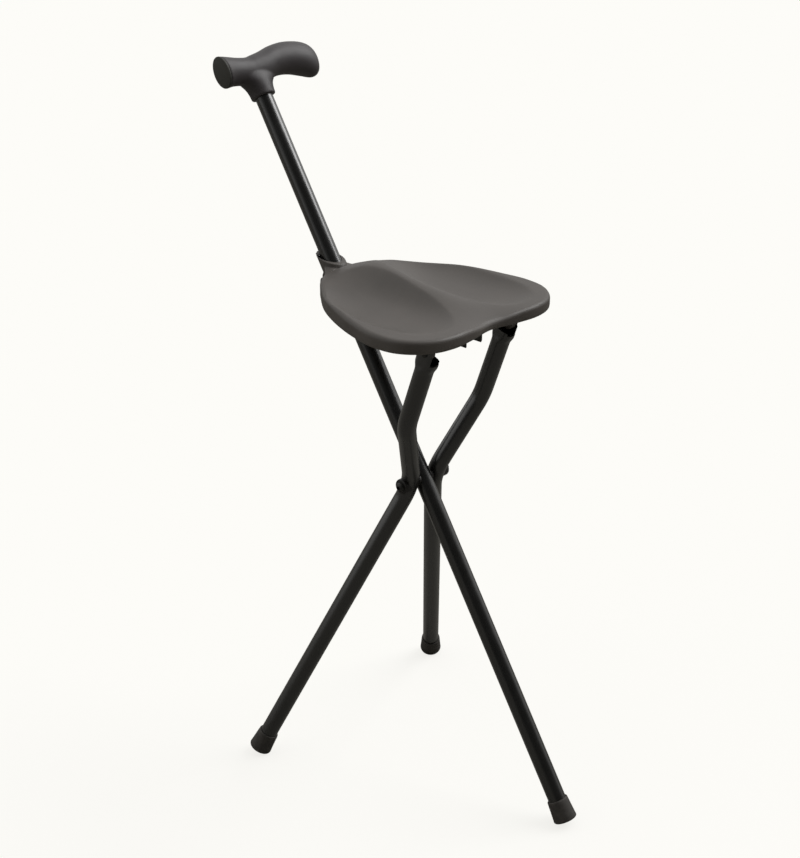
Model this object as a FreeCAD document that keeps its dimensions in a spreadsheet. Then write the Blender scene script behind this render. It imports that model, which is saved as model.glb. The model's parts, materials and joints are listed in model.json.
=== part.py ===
import FreeCAD, Part
import math
import os
import re

import Sketcher
from FreeCAD import Placement, Rotation, Vector

# A walking stick that opens into a three-legged seat. It is drawn open, on level ground, in mm.
# +X points from the handle to the front foot, +Y to the right-hand leg, +Z up.
# Local frames: "shaft" has Z up along the stick from its foot, "leg" has Z up along a leg's own
# plane from the pivot bolt, and "seat" has level axes at the hinge between the seat and its collar.

doc = FreeCAD.newDocument("WalkingStickSeat")
sheet = doc.addObject("Spreadsheet::Sheet", "Sizes")

# Driving dimensions. Lengths are in millimetres and angles in degrees.
SIZES = {
    "tube": 20.0,               # outside diameter of the stick and of both legs
    "tube_wall": 1.2,
    "shaft_tilt": 32.54,        # lean of the stick from upright when the seat is open
    "leg_tilt": 19.2,           # lean of the leg planes the other way
    "pivot_along": 411.0,       # from the base of the stick's ferrule up to the pivot bolt
    "leg_reach": 193.0,         # from the pivot bolt up to the seat pin, along the leg's plane
    "lower_splay": 19.8,        # how far the leg turns out below the pivot
    "upper_splay": 24.0,        # and above it
    "bend_radius": 57.0,        # centre line of both bends in a leg
    "hip_spread": 59.5,         # from the middle to the straight top of a leg
    "spacer_gap": 1.4,          # between the stick and a leg at the pivot
    "ferrule_base": 26.6,       # diameter of a rubber foot at the ground
    "ferrule_top": 23.4,
    "ferrule_height": 25.0,
    "ferrule_floor": 6.0,       # rubber under the end of the tube
    "ferrule_round": 2.0,
    "ferrule_crush": 0.6,       # how far the rubber is pressed flat on the ground
    "foot_disc": 1.5,           # steel disc between the tube's end and the rubber
    "bolt": 6.0,
    "bolt_head": 11.0,
    "bolt_head_height": 4.2,
    "nut_height": 5.2,
    "bush_wall": 1.15,
    "saddle": 17.6,             # diameter of the shaped washers outside the legs
    "saddle_thickness": 3.2,
    "spacer": 13.0,             # diameter of the shaped spacers beside the stick
    "sleeve_wall": 1.15,        # steel tube round the bolt inside the stick
    "running_gap": 0.05,        # between a pin and the hole that turns on it
    "moving_gap": 0.3,          # between faces that pass each other
    "fork_width": 17.0,         # over the flattened sides of a leg's top end
    "fork_breadth": 24.0,       # the other way, where the pressing spreads the tube
    "fork_bore": 14.0,
    "fork_flare": 8.0,          # length of the spreading
    "fork_top": 8.0,            # height above the seat pin
    "fork_slot": 13.4,
    "fork_depth": 10.0,         # from the seat pin down to the rear of the slot
    "fork_slope": 4.0,          # how much lower the slot is at its front
    "fork_lip": 4.5,            # height of the inner cheek, which is cut down, over the slot's floor
    "seat_pin": 5.0,
    "seat_pin_head": 8.0,
    "rivet_head_height": 1.8,
    "lug_round": 7.5,           # radius of the end of a seat lug
    "lug_width": 6.5,
    "seat_length": 222.5,
    "seat_width": 238.0,
    "seat_rear": 54.0,          # length of the straight rear edge
    "seat_setback": 6.6,        # from the hinge line to the seat's rear edge
    "rim_top": 8.7,             # top of the rim above the hinge line
    "rim_height": 14.0,
    "rim_round": 5.0,
    "seat_wall": 3.0,
    "rib": 2.4,
    "rib_clear": 3.0,           # ribs stop this far above the bottom of the rim
    "dish": 9.5,                # depth of the two hollows for the thighs
    "collar": 28.0,             # outside diameter of the sleeve on the stick
    "collar_fit": 0.3,
    "collar_rise": 20.3,        # top of the sleeve above the hinge line, on its axis
    "collar_slope": 11.3,       # how far its top face leans to the front
    "mouth": 12.4,              # radius of the bell mouth
    "barrel": 25.0,             # round body of the collar about the hinge line
    "wing_reach": 25.0,         # half width of the collar's wings at the seat
    "wing_root": 14.0,          # half width where they leave the sleeve
    "wing_back": 9.0,           # how far they run back from the hinge line
    "wing_rise": 4.3,           # how much they climb towards the sleeve
    "wing_thickness": 3.3,
    "parting": 0.6,             # open line between the wings and the seat
    "hinge_pin": 4.0,
    "knuckle": 10.0,
    "knuckle_inner": 17.6,      # outer end of the collar's knuckles, from the middle
    "knuckle_outer": 24.0,      # outer end of the seat's knuckles
    "clip_inset": 37.5,         # from the seat's front edge back to the middle of the shaft clip
    "clip_length": 26.0,
    "clip_prong": 12.0,         # length of its two prongs along the seat
    "clip_gap": 21.4,
    "clip_wall": 2.6,
    "clip_plate": 2.5,
    "clip_tip": 27.0,           # tips of the prongs below the hinge line
    "clip_screw": 3.0,
    "clip_screw_pitch": 15.0,
    "stop_rivet": 5.0,
    "handle_along": 864.6,      # from the base of the front ferrule to the handle's lower rim
    "handle_neck": 28.0,
    "handle_socket": 30.0,
    "handle_nose": 40.5,        # from the stick's axis to the nose end, without its cap
    "handle_palm": 93.5,        # from the stick's axis to the palm end
    "cap_thickness": 2.5,
    "cap_spigot": 6.0,
    "handle_screw": 4.0,
}

# Sizes that follow from the driving ones.
RULES = {
    "tube_radius": "tube / 2",
    "bore_radius": "tube / 2 - tube_wall",
    "fold": "shaft_tilt + leg_tilt",
    "half_turn": "(lower_splay + upper_splay) / 2",
    "leg_gap": "tube + spacer_gap",
    "waist": "leg_gap - bend_radius * (1 / cos(half_turn) - 1)",
    "knee": "(hip_spread - waist) / tan(upper_splay)",
    "waist_run": "bend_radius * tan(half_turn)",
    "hip_run": "bend_radius * tan(upper_splay / 2)",
    "lean_cos": "cos(lower_splay) * cos(leg_tilt)",
    "lean_sin": "sqrt(1 - lean_cos ^ 2)",
    "base_flat": "ferrule_base / 2 - ferrule_round",
    "front_lift": "base_flat * sin(shaft_tilt) + ferrule_round * (1 - cos(shaft_tilt)) - ferrule_crush",
    "side_lift": "base_flat * lean_sin + ferrule_round * (1 - lean_cos) - ferrule_crush",
    "pivot_height": "front_lift + pivot_along * cos(shaft_tilt)",
    "leg_drop": "(pivot_height - side_lift) / cos(leg_tilt)",
    "foot_spread": "waist + leg_drop * tan(lower_splay)",
    "tube_start": "ferrule_floor + foot_disc",
    "hinge_along": "pivot_along + 2 * leg_reach * cos(fold)",
    "seat_drop": "90 - 2 * shaft_tilt - leg_tilt",
    "hip_x": "leg_reach * cos(seat_drop)",
    "hip_z": "-leg_reach * sin(seat_drop)",
    "rim_bottom": "rim_top - rim_height",
    "saddle_face": "leg_gap + tube_radius + saddle_thickness",
    "bolt_seat": "saddle_face + running_gap",
    "bolt_radius": "bolt / 2",
    "bolt_hole": "bolt_radius + 2 * running_gap",
    "bush_bore": "bolt_radius + running_gap",
    "bush_radius": "bush_bore + bush_wall",
    "bush_half": "sqrt(tube_radius ^ 2 - bush_radius ^ 2) - running_gap",
    "sleeve_radius": "bolt_hole + sleeve_wall",
    "sleeve_half": "sqrt(bore_radius ^ 2 - sleeve_radius ^ 2) - running_gap",
    "spacer_face": "leg_gap - tube_radius - running_gap",
    "fork_base": "leg_reach - fork_depth - fork_slope",
    "lug_half": "fork_slot / 2 - moving_gap",
    "lug_inner": "lug_half - lug_width",
    "collar_bore": "tube_radius + collar_fit",
    "stop_along": "hinge_along - barrel / 2 - seat_pin_head / 2 - running_gap",
    "wing_floor": "rim_top - wing_thickness",
    "notch_half": "barrel_half + moving_gap",
    "barrel_half": "collar / 2",
    "clip_along": "seat_setback + seat_length - clip_inset",
    "clip_rear": "clip_along - clip_length / 2",
    "clip_top": "-clip_rear * tan(seat_drop) + tube_radius / cos(seat_drop) + moving_gap + clip_plate",
    "skew": "(upper_splay - lower_splay) / 2",
    "waist_centre": "waist + bend_radius / cos(half_turn) * cos(skew)",
    "waist_drop": "bend_radius / cos(half_turn) * sin(skew)",
}


def cells(text):
    """The same expression with every size written as a cell of the sheet."""
    def one(match):
        word = match.group(0)
        if word in RULES:
            return "(" + cells(RULES[word]) + ")"
        return "Sizes." + word if word in SIZES else word
    return re.sub(r"[a-z_]+", one, text)


def size(text):
    """The number that an expression has with the sheet's present values."""
    return float(sheet.evalExpression(cells(text)))


def bind(feature, path, text):
    feature.setExpression(path, cells(text))


for row, (alias, number) in enumerate(SIZES.items(), 1):
    sheet.set(f"A{row}", alias)
    sheet.set(f"B{row}", str(number))
    sheet.setAlias(f"B{row}", alias)
doc.recompute()

X_AXIS = Vector(1, 0, 0)
Y_AXIS = Vector(0, 1, 0)
Z_AXIS = Vector(0, 0, 1)
ALONG_Y = Rotation(X_AXIS, -90)
SIDES = {"left": -1, "right": 1}
pieces = []


def keep(feature, label, placement):
    """Name a finished piece and note where it goes."""
    feature.Label = label
    pieces.append((feature, placement))


def sketch_on(body, name, role, offset=None):
    """A sketch on one of the body's own planes, moved along the plane's normal."""
    sketch = body.newObject("Sketcher::SketchObject", name)
    plane = [item for item in body.Origin.OriginFeatures if item.Role == role][0]
    sketch.AttachmentSupport = [(plane, "")]
    sketch.MapMode = "FlatFace"
    if offset:
        bind(sketch, "AttachmentOffset.Base.z", offset)
    return sketch


def pin_point(sketch, line, end, corner):
    """Hold one end of a line at a place given by two expressions."""
    for kind, axis, text in (("DistanceX", -2, corner[0]), ("DistanceY", -1, corner[1])):
        if text == "0":
            sketch.addConstraint(Sketcher.Constraint("PointOnObject", line, end, axis))
            continue
        index = sketch.addConstraint(Sketcher.Constraint(kind, -1, 1, line, end, size(text)))
        name = f"{kind}_{line}_{end}"
        sketch.renameConstraint(index, name)
        bind(sketch, f"Constraints.{name}", text)


def add_polygon(sketch, corners):
    """A closed outline through corners given as pairs of expressions."""
    first = sketch.GeometryCount
    spots = [Vector(size(across), size(up), 0) for across, up in corners]
    count = len(spots)
    for index in range(count):
        sketch.addGeometry(Part.LineSegment(spots[index], spots[(index + 1) % count]), False)
    for index in range(count):
        following = first + (index + 1) % count
        sketch.addConstraint(Sketcher.Constraint("Coincident", first + index, 2, following, 1))
    for index in range(count):
        pin_point(sketch, first + index, 1, corners[index])


def add_circle(sketch, across, up, radius):
    """A circle whose centre and radius are expressions."""
    centre = Vector(size(across), size(up), 0)
    line = sketch.addGeometry(Part.Circle(centre, Z_AXIS, size(radius)), False)
    pin_point(sketch, line, 3, (across, up))
    index = sketch.addConstraint(Sketcher.Constraint("Radius", line, size(radius)))
    sketch.renameConstraint(index, f"Radius_{line}")
    bind(sketch, f"Constraints.Radius_{line}", radius)


def finish_feature(body, feature, sketch):
    feature.Profile = sketch
    sketch.Visibility = False
    body.Tip = feature
    doc.recompute()
    return feature


def pad(body, name, sketch, length):
    feature = body.newObject("PartDesign::Pad", name)
    bind(feature, "Length", length)
    return finish_feature(body, feature, sketch)


def pocket(body, name, sketch, length):
    """A cut that runs both ways from its sketch."""
    before = body.Shape.Volume
    feature = body.newObject("PartDesign::Pocket", name)
    feature.Midplane = True
    bind(feature, "Length", length)
    finish_feature(body, feature, sketch)
    if not body.Shape.Volume < before:
        raise ValueError(f"{body.Label}: {name} cuts nothing")
    return feature


def primitive(body, kind, name, sizes, base=("0", "0", "0"), axis=Y_AXIS, angle="0"):
    """An additive or subtractive cylinder, cone, box or torus at a place in the body."""
    feature = body.newObject(f"PartDesign::{kind}", name)
    for key, text in sizes.items():
        bind(feature, key, text)
    turn = Rotation(axis, size(angle))
    feature.Placement = Placement(turn.multVec(Vector(0, 0, 0)), turn)
    for letter, text in zip("xyz", base):
        bind(feature, f"Placement.Base.{letter}", text)
    if angle not in ("0", "90", "-90"):
        bind(feature, "Placement.Rotation.Angle", angle)
    body.Tip = feature
    doc.recompute()
    return feature


def turned(name, profile):
    """A body turned about Z from a half profile of (radius, height) expressions."""
    body = doc.addObject("PartDesign::Body", name)
    sketch = sketch_on(body, f"{name}_profile", "XZ_Plane")
    add_polygon(sketch, profile)
    feature = body.newObject("PartDesign::Revolution", f"{name}_turning")
    feature.Profile = sketch
    feature.ReferenceAxis = (sketch, ["V_Axis"])
    feature.Angle = 360
    sketch.Visibility = False
    body.Tip = feature
    doc.recompute()
    return body


def round_edges(body, name, test, radius):
    """Fillet the edges of the body's last feature that pass a test."""
    base = body.Tip
    chosen = [f"Edge{index}" for index, edge in enumerate(base.Shape.Edges, 1) if test(edge)]
    feature = body.newObject("PartDesign::Fillet", name)
    feature.Base = (base, chosen)
    bind(feature, "Radius", radius)
    body.Tip = feature
    doc.recompute()


def eased(stations, place, column):
    """Smooth value of one column of a station list, whose first column is the place."""
    places = [row[0] for row in stations]
    values = [row[column] for row in stations]
    if place <= places[0]:
        return values[0]
    if place >= places[-1]:
        return values[-1]
    last = len(places) - 1
    index = max(i for i in range(last) if places[i] <= place)

    def slope(i):
        low, high = max(i - 1, 0), min(i + 1, last)
        return (values[high] - values[low]) / (places[high] - places[low])

    run = places[index + 1] - places[index]
    part = (place - places[index]) / run
    return (values[index] * (2 * part ** 3 - 3 * part ** 2 + 1)
            + slope(index) * run * (part ** 3 - 2 * part ** 2 + part)
            + values[index + 1] * (3 * part ** 2 - 2 * part ** 3)
            + slope(index + 1) * run * (part ** 3 - part ** 2))


# Where the moving bodies stand when the seat is open.
shaft_turn = Rotation(Y_AXIS, -size("shaft_tilt"))
leg_turn = Rotation(Y_AXIS, size("leg_tilt"))
shaft_frame = Placement(Vector(0, 0, size("front_lift")), shaft_turn)
pivot = shaft_frame.multVec(Vector(0, 0, size("pivot_along")))
leg_frame = Placement(pivot, leg_turn)
seat_frame = Placement(shaft_frame.multVec(Vector(0, 0, size("hinge_along"))), Rotation())


def in_frame(frame, spot=Vector(0, 0, 0), turn=Rotation()):
    return frame.multiply(Placement(spot, turn))


def make_ferrule(name, lean_sin, lean_cos, lift):
    """A rubber foot, tapered, open at its top and pressed flat where it meets the ground."""
    body = turned(name, [
        ("0", "0"), ("ferrule_base / 2", "0"), ("ferrule_top / 2", "ferrule_height"),
        ("tube_radius", "ferrule_height"), ("tube_radius", "ferrule_floor"), ("0", "ferrule_floor")])

    def bottom_edge(edge):
        return edge.BoundBox.ZMax < 0.001 and edge.BoundBox.XLength > size("ferrule_base") - 0.01

    round_edges(body, f"{name}_round", bottom_edge, "ferrule_round")
    ground = sketch_on(body, f"{name}_ground", "XZ_Plane")
    reach = "ferrule_base"
    low_side = f"({reach} * {lean_sin} - {lift}) / {lean_cos}"
    high_side = f"(-{reach} * {lean_sin} - {lift}) / {lean_cos}"
    add_polygon(ground, [(f"-{reach}", low_side), (reach, high_side),
                         (reach, f"-2 * {reach}"), (f"-{reach}", f"-2 * {reach}")])
    pocket(body, f"{name}_flat", ground, "2 * ferrule_base")
    return body


def make_foot_disc(name):
    return turned(name, [("0", "ferrule_floor"), ("tube_radius", "ferrule_floor"),
                         ("tube_radius", "tube_start"), ("0", "tube_start")])


def make_main_shaft():
    """The stick itself: one straight tube with cross holes for the bolt and the stop rivet."""
    body = doc.addObject("PartDesign::Body", "main_shaft")
    section = sketch_on(body, "shaft_section", "XY_Plane", "tube_start")
    add_circle(section, "0", "0", "tube_radius")
    add_circle(section, "0", "0", "bore_radius")
    pad(body, "shaft_tube", section, "handle_along + handle_socket - tube_start")
    for name, along, radius in (("bolt_hole", "pivot_along", "bolt_hole"),
                                ("rivet_hole", "stop_along", "stop_rivet / 2")):
        hole = sketch_on(body, f"{name}_sketch", "XZ_Plane")
        add_circle(hole, "0", along, radius)
        pocket(body, name, hole, "2 * tube")
    primitive(body, "SubtractiveCylinder", "screw_hole",
              {"Radius": "handle_screw / 2", "Height": "tube_radius"},
              ("-tube_radius - 1", "0", "handle_along + handle_socket / 2"), Y_AXIS, "90")
    keep(body, "main_shaft", shaft_frame)


def make_leg(side_name, side):
    """A leg: one tube bent twice in its own plane, its top flattened with a tall outer cheek."""
    body = doc.addObject("PartDesign::Body", f"{side_name}_leg")
    spine = sketch_on(body, f"{side_name}_spine", "YZ_Plane")
    top = (f"{side} * hip_spread", "leg_reach")
    hip_up = (f"{side} * hip_spread", "knee + hip_run")
    hip_down = (f"{side} * (hip_spread - hip_run * sin(upper_splay))",
                "knee - hip_run * cos(upper_splay)")
    waist_up = (f"{side} * (waist + waist_run * sin(upper_splay))",
                "waist_run * cos(upper_splay)")
    waist_down = (f"{side} * (waist + waist_run * sin(lower_splay))",
                  "-waist_run * cos(lower_splay)")
    foot = (f"{side} * (foot_spread - tube_start * sin(lower_splay))",
            "-leg_drop + tube_start * cos(lower_splay)")
    for start, end in ((top, hip_up), (hip_down, waist_up), (waist_down, foot)):
        spots = [Vector(size(across), size(up), 0) for across, up in (start, end)]
        line = spine.addGeometry(Part.LineSegment(*spots), False)
        pin_point(spine, line, 1, start)
        pin_point(spine, line, 2, end)
    bends = ((f"{side} * (hip_spread - bend_radius)", "knee + hip_run", 0, 1),
             (f"{side} * waist_centre", "-waist_drop", 1, 2))
    for across, up, above, below in bends:
        centre = Vector(size(across), size(up), 0)
        ends = [spine.Geometry[above].EndPoint - centre, spine.Geometry[below].StartPoint - centre]
        angles = [math.atan2(spot.y, spot.x) for spot in ends]
        turns = (angles[1] - angles[0]) % (2 * math.pi) < math.pi
        start, stop = angles if turns else (angles[1], angles[0])
        circle = Part.Circle(centre, Z_AXIS, size("bend_radius"))
        arc = spine.addGeometry(Part.ArcOfCircle(circle, start, stop), False)
        first = 1 if turns else 2
        spine.addConstraint(Sketcher.Constraint("Coincident", arc, first, above, 2))
        spine.addConstraint(Sketcher.Constraint("Coincident", arc, 3 - first, below, 1))
        index = spine.addConstraint(Sketcher.Constraint("Radius", arc, size("bend_radius")))
        spine.renameConstraint(index, f"Bend_{arc}")
        bind(spine, f"Constraints.Bend_{arc}", "bend_radius")
    section = sketch_on(body, f"{side_name}_section", "XY_Plane", "leg_reach")
    add_circle(section, "0", f"{side} * hip_spread", "tube_radius")
    add_circle(section, "0", f"{side} * hip_spread", "bore_radius")
    tube = body.newObject("PartDesign::AdditivePipe", f"{side_name}_tube")
    tube.Profile = section
    tube.Spine = (spine, [])
    body.Tip = tube
    doc.recompute()
    flare_start = "fork_base - fork_flare"
    hip = f"{side} * hip_spread"
    primitive(body, "AdditiveCone", f"{side_name}_flare",
              {"Radius1": "tube_radius", "Radius2": "fork_breadth / 2", "Height": "fork_flare"},
              ("0", hip, flare_start))
    primitive(body, "AdditiveCylinder", f"{side_name}_fork_body",
              {"Radius": "fork_breadth / 2", "Height": "fork_depth + fork_slope + fork_top"},
              ("0", hip, "fork_base"))
    primitive(body, "SubtractiveCylinder", f"{side_name}_fork_bore",
              {"Radius": "fork_bore / 2", "Height": "2 * fork_flare + fork_depth"},
              ("0", hip, f"{flare_start} - fork_flare / 2"))
    flats = sketch_on(body, f"{side_name}_flats", "YZ_Plane")
    for edge in (-1, 1):
        start = f"{hip} + {edge} * tube_radius"
        inner = f"{hip} + {edge} * fork_width / 2"
        outer = f"{hip} + {edge} * tube"
        high = "leg_reach + tube"
        add_polygon(flats, [(start, flare_start), (outer, flare_start), (outer, high), (inner, high),
                            (inner, "fork_base")])
    pocket(body, f"{side_name}_flattening", flats, "2 * tube")
    shoulders = sketch_on(body, f"{side_name}_shoulders", "XZ_Plane", f"{-side} * hip_spread")
    for edge in (-1, 1):
        add_polygon(shoulders, [(f"{edge} * fork_breadth / 4", "leg_reach + fork_top + 1"),
                                (f"{edge} * fork_breadth", "leg_reach - fork_breadth / 2"),
                                (f"{edge} * fork_breadth", "leg_reach + fork_top + 1")])
    pocket(body, f"{side_name}_shoulder_cut", shoulders, "2 * tube")
    slot = sketch_on(body, f"{side_name}_slot", "XZ_Plane", f"{-side} * hip_spread")
    add_polygon(slot, [("-tube", "leg_reach - fork_depth + fork_slope / 2"),
                       ("tube", "leg_reach - fork_depth - 3 * fork_slope / 2"),
                       ("tube", "leg_reach + tube"), ("-tube", "leg_reach + tube")])
    pocket(body, f"{side_name}_fork", slot, "fork_slot")
    lip = sketch_on(body, f"{side_name}_lip", "XZ_Plane", f"{-side} * (hip_spread - fork_width / 2)")
    add_polygon(lip, [("-tube", "leg_reach - fork_depth + fork_slope / 2 + fork_lip"),
                      ("tube", "leg_reach - fork_depth - 3 * fork_slope / 2 + fork_lip"),
                      ("tube", "leg_reach + tube"), ("-tube", "leg_reach + tube")])
    pocket(body, f"{side_name}_open_side", lip, "fork_width - fork_slot + moving_gap")
    for name, across, up, radius in (("bush_hole", "0", "0", "bush_radius"),
                                     ("pin_hole", "0", "leg_reach", "seat_pin / 2")):
        hole = sketch_on(body, f"{side_name}_{name}_sketch", "XZ_Plane")
        add_circle(hole, across, up, radius)
        pocket(body, f"{side_name}_{name}", hole, "4 * hip_spread")
    keep(body, f"{side_name}_leg", leg_frame)


def make_leg_fittings(side_name, side):
    """What is on a leg: bush, shaped washer, seat pin, rubber foot and its steel disc."""
    outward = Rotation(X_AXIS, -90 * side)
    bush = turned(f"{side_name}_leg_bush", [
        ("bush_bore", "leg_gap - bush_half"), ("bush_radius", "leg_gap - bush_half"),
        ("bush_radius", "leg_gap + bush_half"), ("bush_bore", "leg_gap + bush_half")])
    keep(bush, f"{side_name}_leg_bush", in_frame(leg_frame, turn=outward))

    washer = turned(f"{side_name}_saddle_washer", [
        ("bolt_hole", "leg_gap + tube_radius / 2"), ("saddle / 2", "leg_gap + tube_radius / 2"),
        ("saddle / 2", "saddle_face - 1"), ("saddle / 2 - 1", "saddle_face"),
        ("bolt_hole", "saddle_face")])
    primitive(washer, "SubtractiveTorus", f"{side_name}_saddle",
              {"Radius1": "bend_radius", "Radius2": "tube_radius"},
              ("0", f"{side} * waist_drop", "waist_centre"), Y_AXIS, "90")
    keep(washer, f"{side_name}_saddle_washer", in_frame(leg_frame, turn=outward))

    near, far = "lug_inner - moving_gap", "fork_width / 2"
    low, high = f"{near} - rivet_head_height", f"{far} + rivet_head_height"
    head, shank = "seat_pin_head / 2", "seat_pin / 2"
    pin = turned(f"{side_name}_seat_pin", [
        ("0", low), (f"{head} - 1", low), (head, f"{near} - 0.6"), (head, near), (shank, near),
        (shank, far), (head, far), (head, f"{far} + 0.6"), (f"{head} - 1", high), ("0", high)])
    spot = Vector(0, side * size("hip_spread"), size("leg_reach"))
    keep(pin, f"{side_name}_seat_pin", in_frame(leg_frame, spot, outward))

    spot = leg_frame.multVec(Vector(0, side * size("foot_spread"), -size("leg_drop")))
    splay = math.radians(size("lower_splay"))
    upward = leg_turn.multVec(Vector(0, -side * math.sin(splay), math.cos(splay)))
    rising = (Z_AXIS - upward * upward.z).normalize()
    foot = Placement(spot, Rotation(rising, upward.cross(rising), upward, "ZXY"))
    ferrule = make_ferrule(f"{side_name}_ferrule", "lean_sin", "lean_cos", "side_lift")
    keep(ferrule, f"{side_name}_ferrule", foot)
    keep(make_foot_disc(f"{side_name}_foot_disc"), f"{side_name}_foot_disc", foot)


def make_pivot():
    """The cross bolt with its cap nut, and what it runs through between the legs."""
    across = Placement(pivot, ALONG_Y)
    bolt = turned("pivot_bolt", [
        ("0", "-bolt_seat - bolt_head_height"), ("bolt_head / 2 - 2", "-bolt_seat - bolt_head_height"),
        ("bolt_head / 2", "-bolt_seat - bolt_head_height + 1.6"), ("bolt_head / 2", "-bolt_seat"),
        ("bolt_radius", "-bolt_seat"), ("bolt_radius", "bolt_seat + nut_height - 2"),
        ("0", "bolt_seat + nut_height - 2")])
    keep(bolt, "pivot_bolt", across)
    nut = turned("pivot_cap_nut", [
        ("bolt_radius", "bolt_seat"), ("bolt_head / 2", "bolt_seat"),
        ("bolt_head / 2", "bolt_seat + nut_height - 2"), ("bolt_head / 2 - 2", "bolt_seat + nut_height"),
        ("0", "bolt_seat + nut_height"), ("0", "bolt_seat + nut_height - 1.5"),
        ("bolt_radius", "bolt_seat + nut_height - 1.5")])
    keep(nut, "pivot_cap_nut", across)
    sleeve = turned("pivot_sleeve", [
        ("bolt_hole", "-sleeve_half"), ("sleeve_radius", "-sleeve_half"),
        ("sleeve_radius", "sleeve_half"), ("bolt_hole", "sleeve_half")])
    keep(sleeve, "pivot_sleeve", across)
    for side_name, side in SIDES.items():
        spacer = turned(f"{side_name}_spacer", [
            ("bolt_hole", "tube_radius / 2"), ("spacer / 2", "tube_radius / 2"),
            ("spacer / 2", "spacer_face"), ("bolt_hole", "spacer_face")])
        primitive(spacer, "SubtractiveCylinder", f"{side_name}_seat_on_stick",
                  {"Radius": "tube_radius", "Height": "2 * spacer"},
                  ("0", "spacer", "0"), X_AXIS, "90")
        turn = Rotation(X_AXIS, -90 * side)
        keep(spacer, f"{side_name}_spacer", in_frame(shaft_frame, Vector(0, 0, size("pivot_along")), turn))


def make_stop_rivet():
    """The rivet through the stick that the collar rests on when the seat is open."""
    reach = "tube_radius"
    head, shank, tip = "seat_pin_head / 2", "stop_rivet / 2", f"{reach} + rivet_head_height"
    rivet = turned("stop_rivet", [
        ("0", f"-({tip})"), (f"{head} - 1", f"-({tip})"), (head, f"-({reach}) - 0.6"),
        (head, f"-({reach})"), (shank, f"-({reach})"), (shank, reach), (head, reach),
        (head, f"{reach} + 0.6"), (f"{head} - 1", tip), ("0", tip)])
    keep(rivet, "stop_rivet", in_frame(shaft_frame, Vector(0, 0, size("stop_along")), ALONG_Y))


def make_collar():
    """The slide collar: a bell-mouthed sleeve, a round body about the hinge and two wings."""
    body = doc.addObject("PartDesign::Body", "slide_collar")
    front = sketch_on(body, "wing_front", "YZ_Plane", "-wing_back")
    add_polygon(front, [
        ("-wing_reach", "wing_floor"), ("wing_reach", "wing_floor"), ("wing_reach", "rim_top"),
        ("wing_root", "rim_top + wing_rise"), ("-wing_root", "rim_top + wing_rise"),
        ("-wing_reach", "rim_top")])
    pad(body, "wings", front, "wing_back + seat_setback - parting")
    corners = sketch_on(body, "wing_corners", "XY_Plane")
    edge = "seat_setback - parting - 1"
    for side in (-1, 1):
        add_polygon(corners, [
            (edge, f"{side} * (wing_reach + 0.01)"), ("-wing_back - 1", f"{side} * (wing_reach + 0.01)"),
            ("-wing_back - 1", f"{side} * (wing_root - 2)")])
    pocket(body, "wing_trimming", corners, "8 * rim_top")
    primitive(body, "AdditiveCylinder", "sleeve", {"Radius": "collar / 2", "Height": "2 * collar_rise"},
              axis=Y_AXIS, angle="-shaft_tilt")
    primitive(body, "AdditiveCylinder", "barrel_body", {"Radius": "barrel / 2", "Height": "2 * barrel_half"},
              ("0", "-barrel_half", "0"), X_AXIS, "-90")
    primitive(body, "AdditiveCylinder", "knuckles", {"Radius": "knuckle / 2", "Height": "2 * knuckle_inner"},
              ("0", "-knuckle_inner", "0"), X_AXIS, "-90")
    primitive(body, "AdditiveBox", "knuckle_web",
              {"Length": "knuckle", "Width": "2 * knuckle_inner", "Height": "wing_floor + 1"},
              ("-knuckle / 2", "-knuckle_inner", "0"))
    crown = sketch_on(body, "crown_line", "XZ_Plane")
    reach = "2 * collar"
    middle = "(-collar_rise * tan(shaft_tilt))"
    rear = f"collar_rise + ({reach} + {middle}) * tan(collar_slope)"
    fore = f"collar_rise - ({reach} - {middle}) * tan(collar_slope)"
    add_polygon(crown, [(f"-{reach}", rear), (reach, fore), (reach, f"{reach} + collar_rise"),
                        (f"-{reach}", f"{reach} + collar_rise")])
    pocket(body, "crown", crown, reach)
    primitive(body, "SubtractiveCylinder", "bore", {"Radius": "collar_bore", "Height": "8 * collar"},
              ("4 * collar * sin(shaft_tilt)", "0", "-4 * collar * cos(shaft_tilt)"),
              Y_AXIS, "-shaft_tilt")
    primitive(body, "SubtractiveCone", "bell_mouth",
              {"Radius1": "collar_bore", "Radius2": "mouth", "Height": "collar / 2"},
              ("-(collar_rise - 5) * tan(shaft_tilt)", "0", "collar_rise - 5"), Y_AXIS, "-shaft_tilt")
    primitive(body, "SubtractiveCylinder", "hinge_holes",
              {"Radius": "hinge_pin / 2 + running_gap", "Height": "4 * knuckle_inner"},
              ("0", "-2 * knuckle_inner", "0"), X_AXIS, "-90")
    keep(body, "slide_collar", seat_frame)


def make_hinge_pins():
    for side_name, side in SIDES.items():
        inner, outer = "collar_bore + 1", "knuckle_outer"
        pin = turned(f"{side_name}_hinge_pin", [
            ("0", inner), ("hinge_pin / 2", inner), ("hinge_pin / 2", outer), ("0", outer)])
        turn = Rotation(X_AXIS, -90 * side)
        keep(pin, f"{side_name}_hinge_pin", in_frame(seat_frame, turn=turn))


# Half of the seat's outline: share of the length from the rear edge, share of the half width.
SEAT_OUTLINE = [
    (0.058, 0.39), (0.135, 0.522), (0.27, 0.712), (0.427, 0.856), (0.598, 0.957), (0.733, 1.0),
    (0.858, 0.962), (0.935, 0.853), (0.984, 0.697), (1.0, 0.538), (0.987, 0.27), (0.962, 0.0)]

# The middle ridge: share of the seat's length, height above the rim and half width, in mm.
RIDGE = [
    (0.0, 4.6, 40.0), (0.1, 9.8, 42.0), (0.2, 13.6, 42.0), (0.32, 12.8, 34.0), (0.46, 9.5, 26.0),
    (0.65, 6.5, 23.0), (0.82, 2.2, 27.0), (0.96, -5.0, 34.0)]

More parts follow.
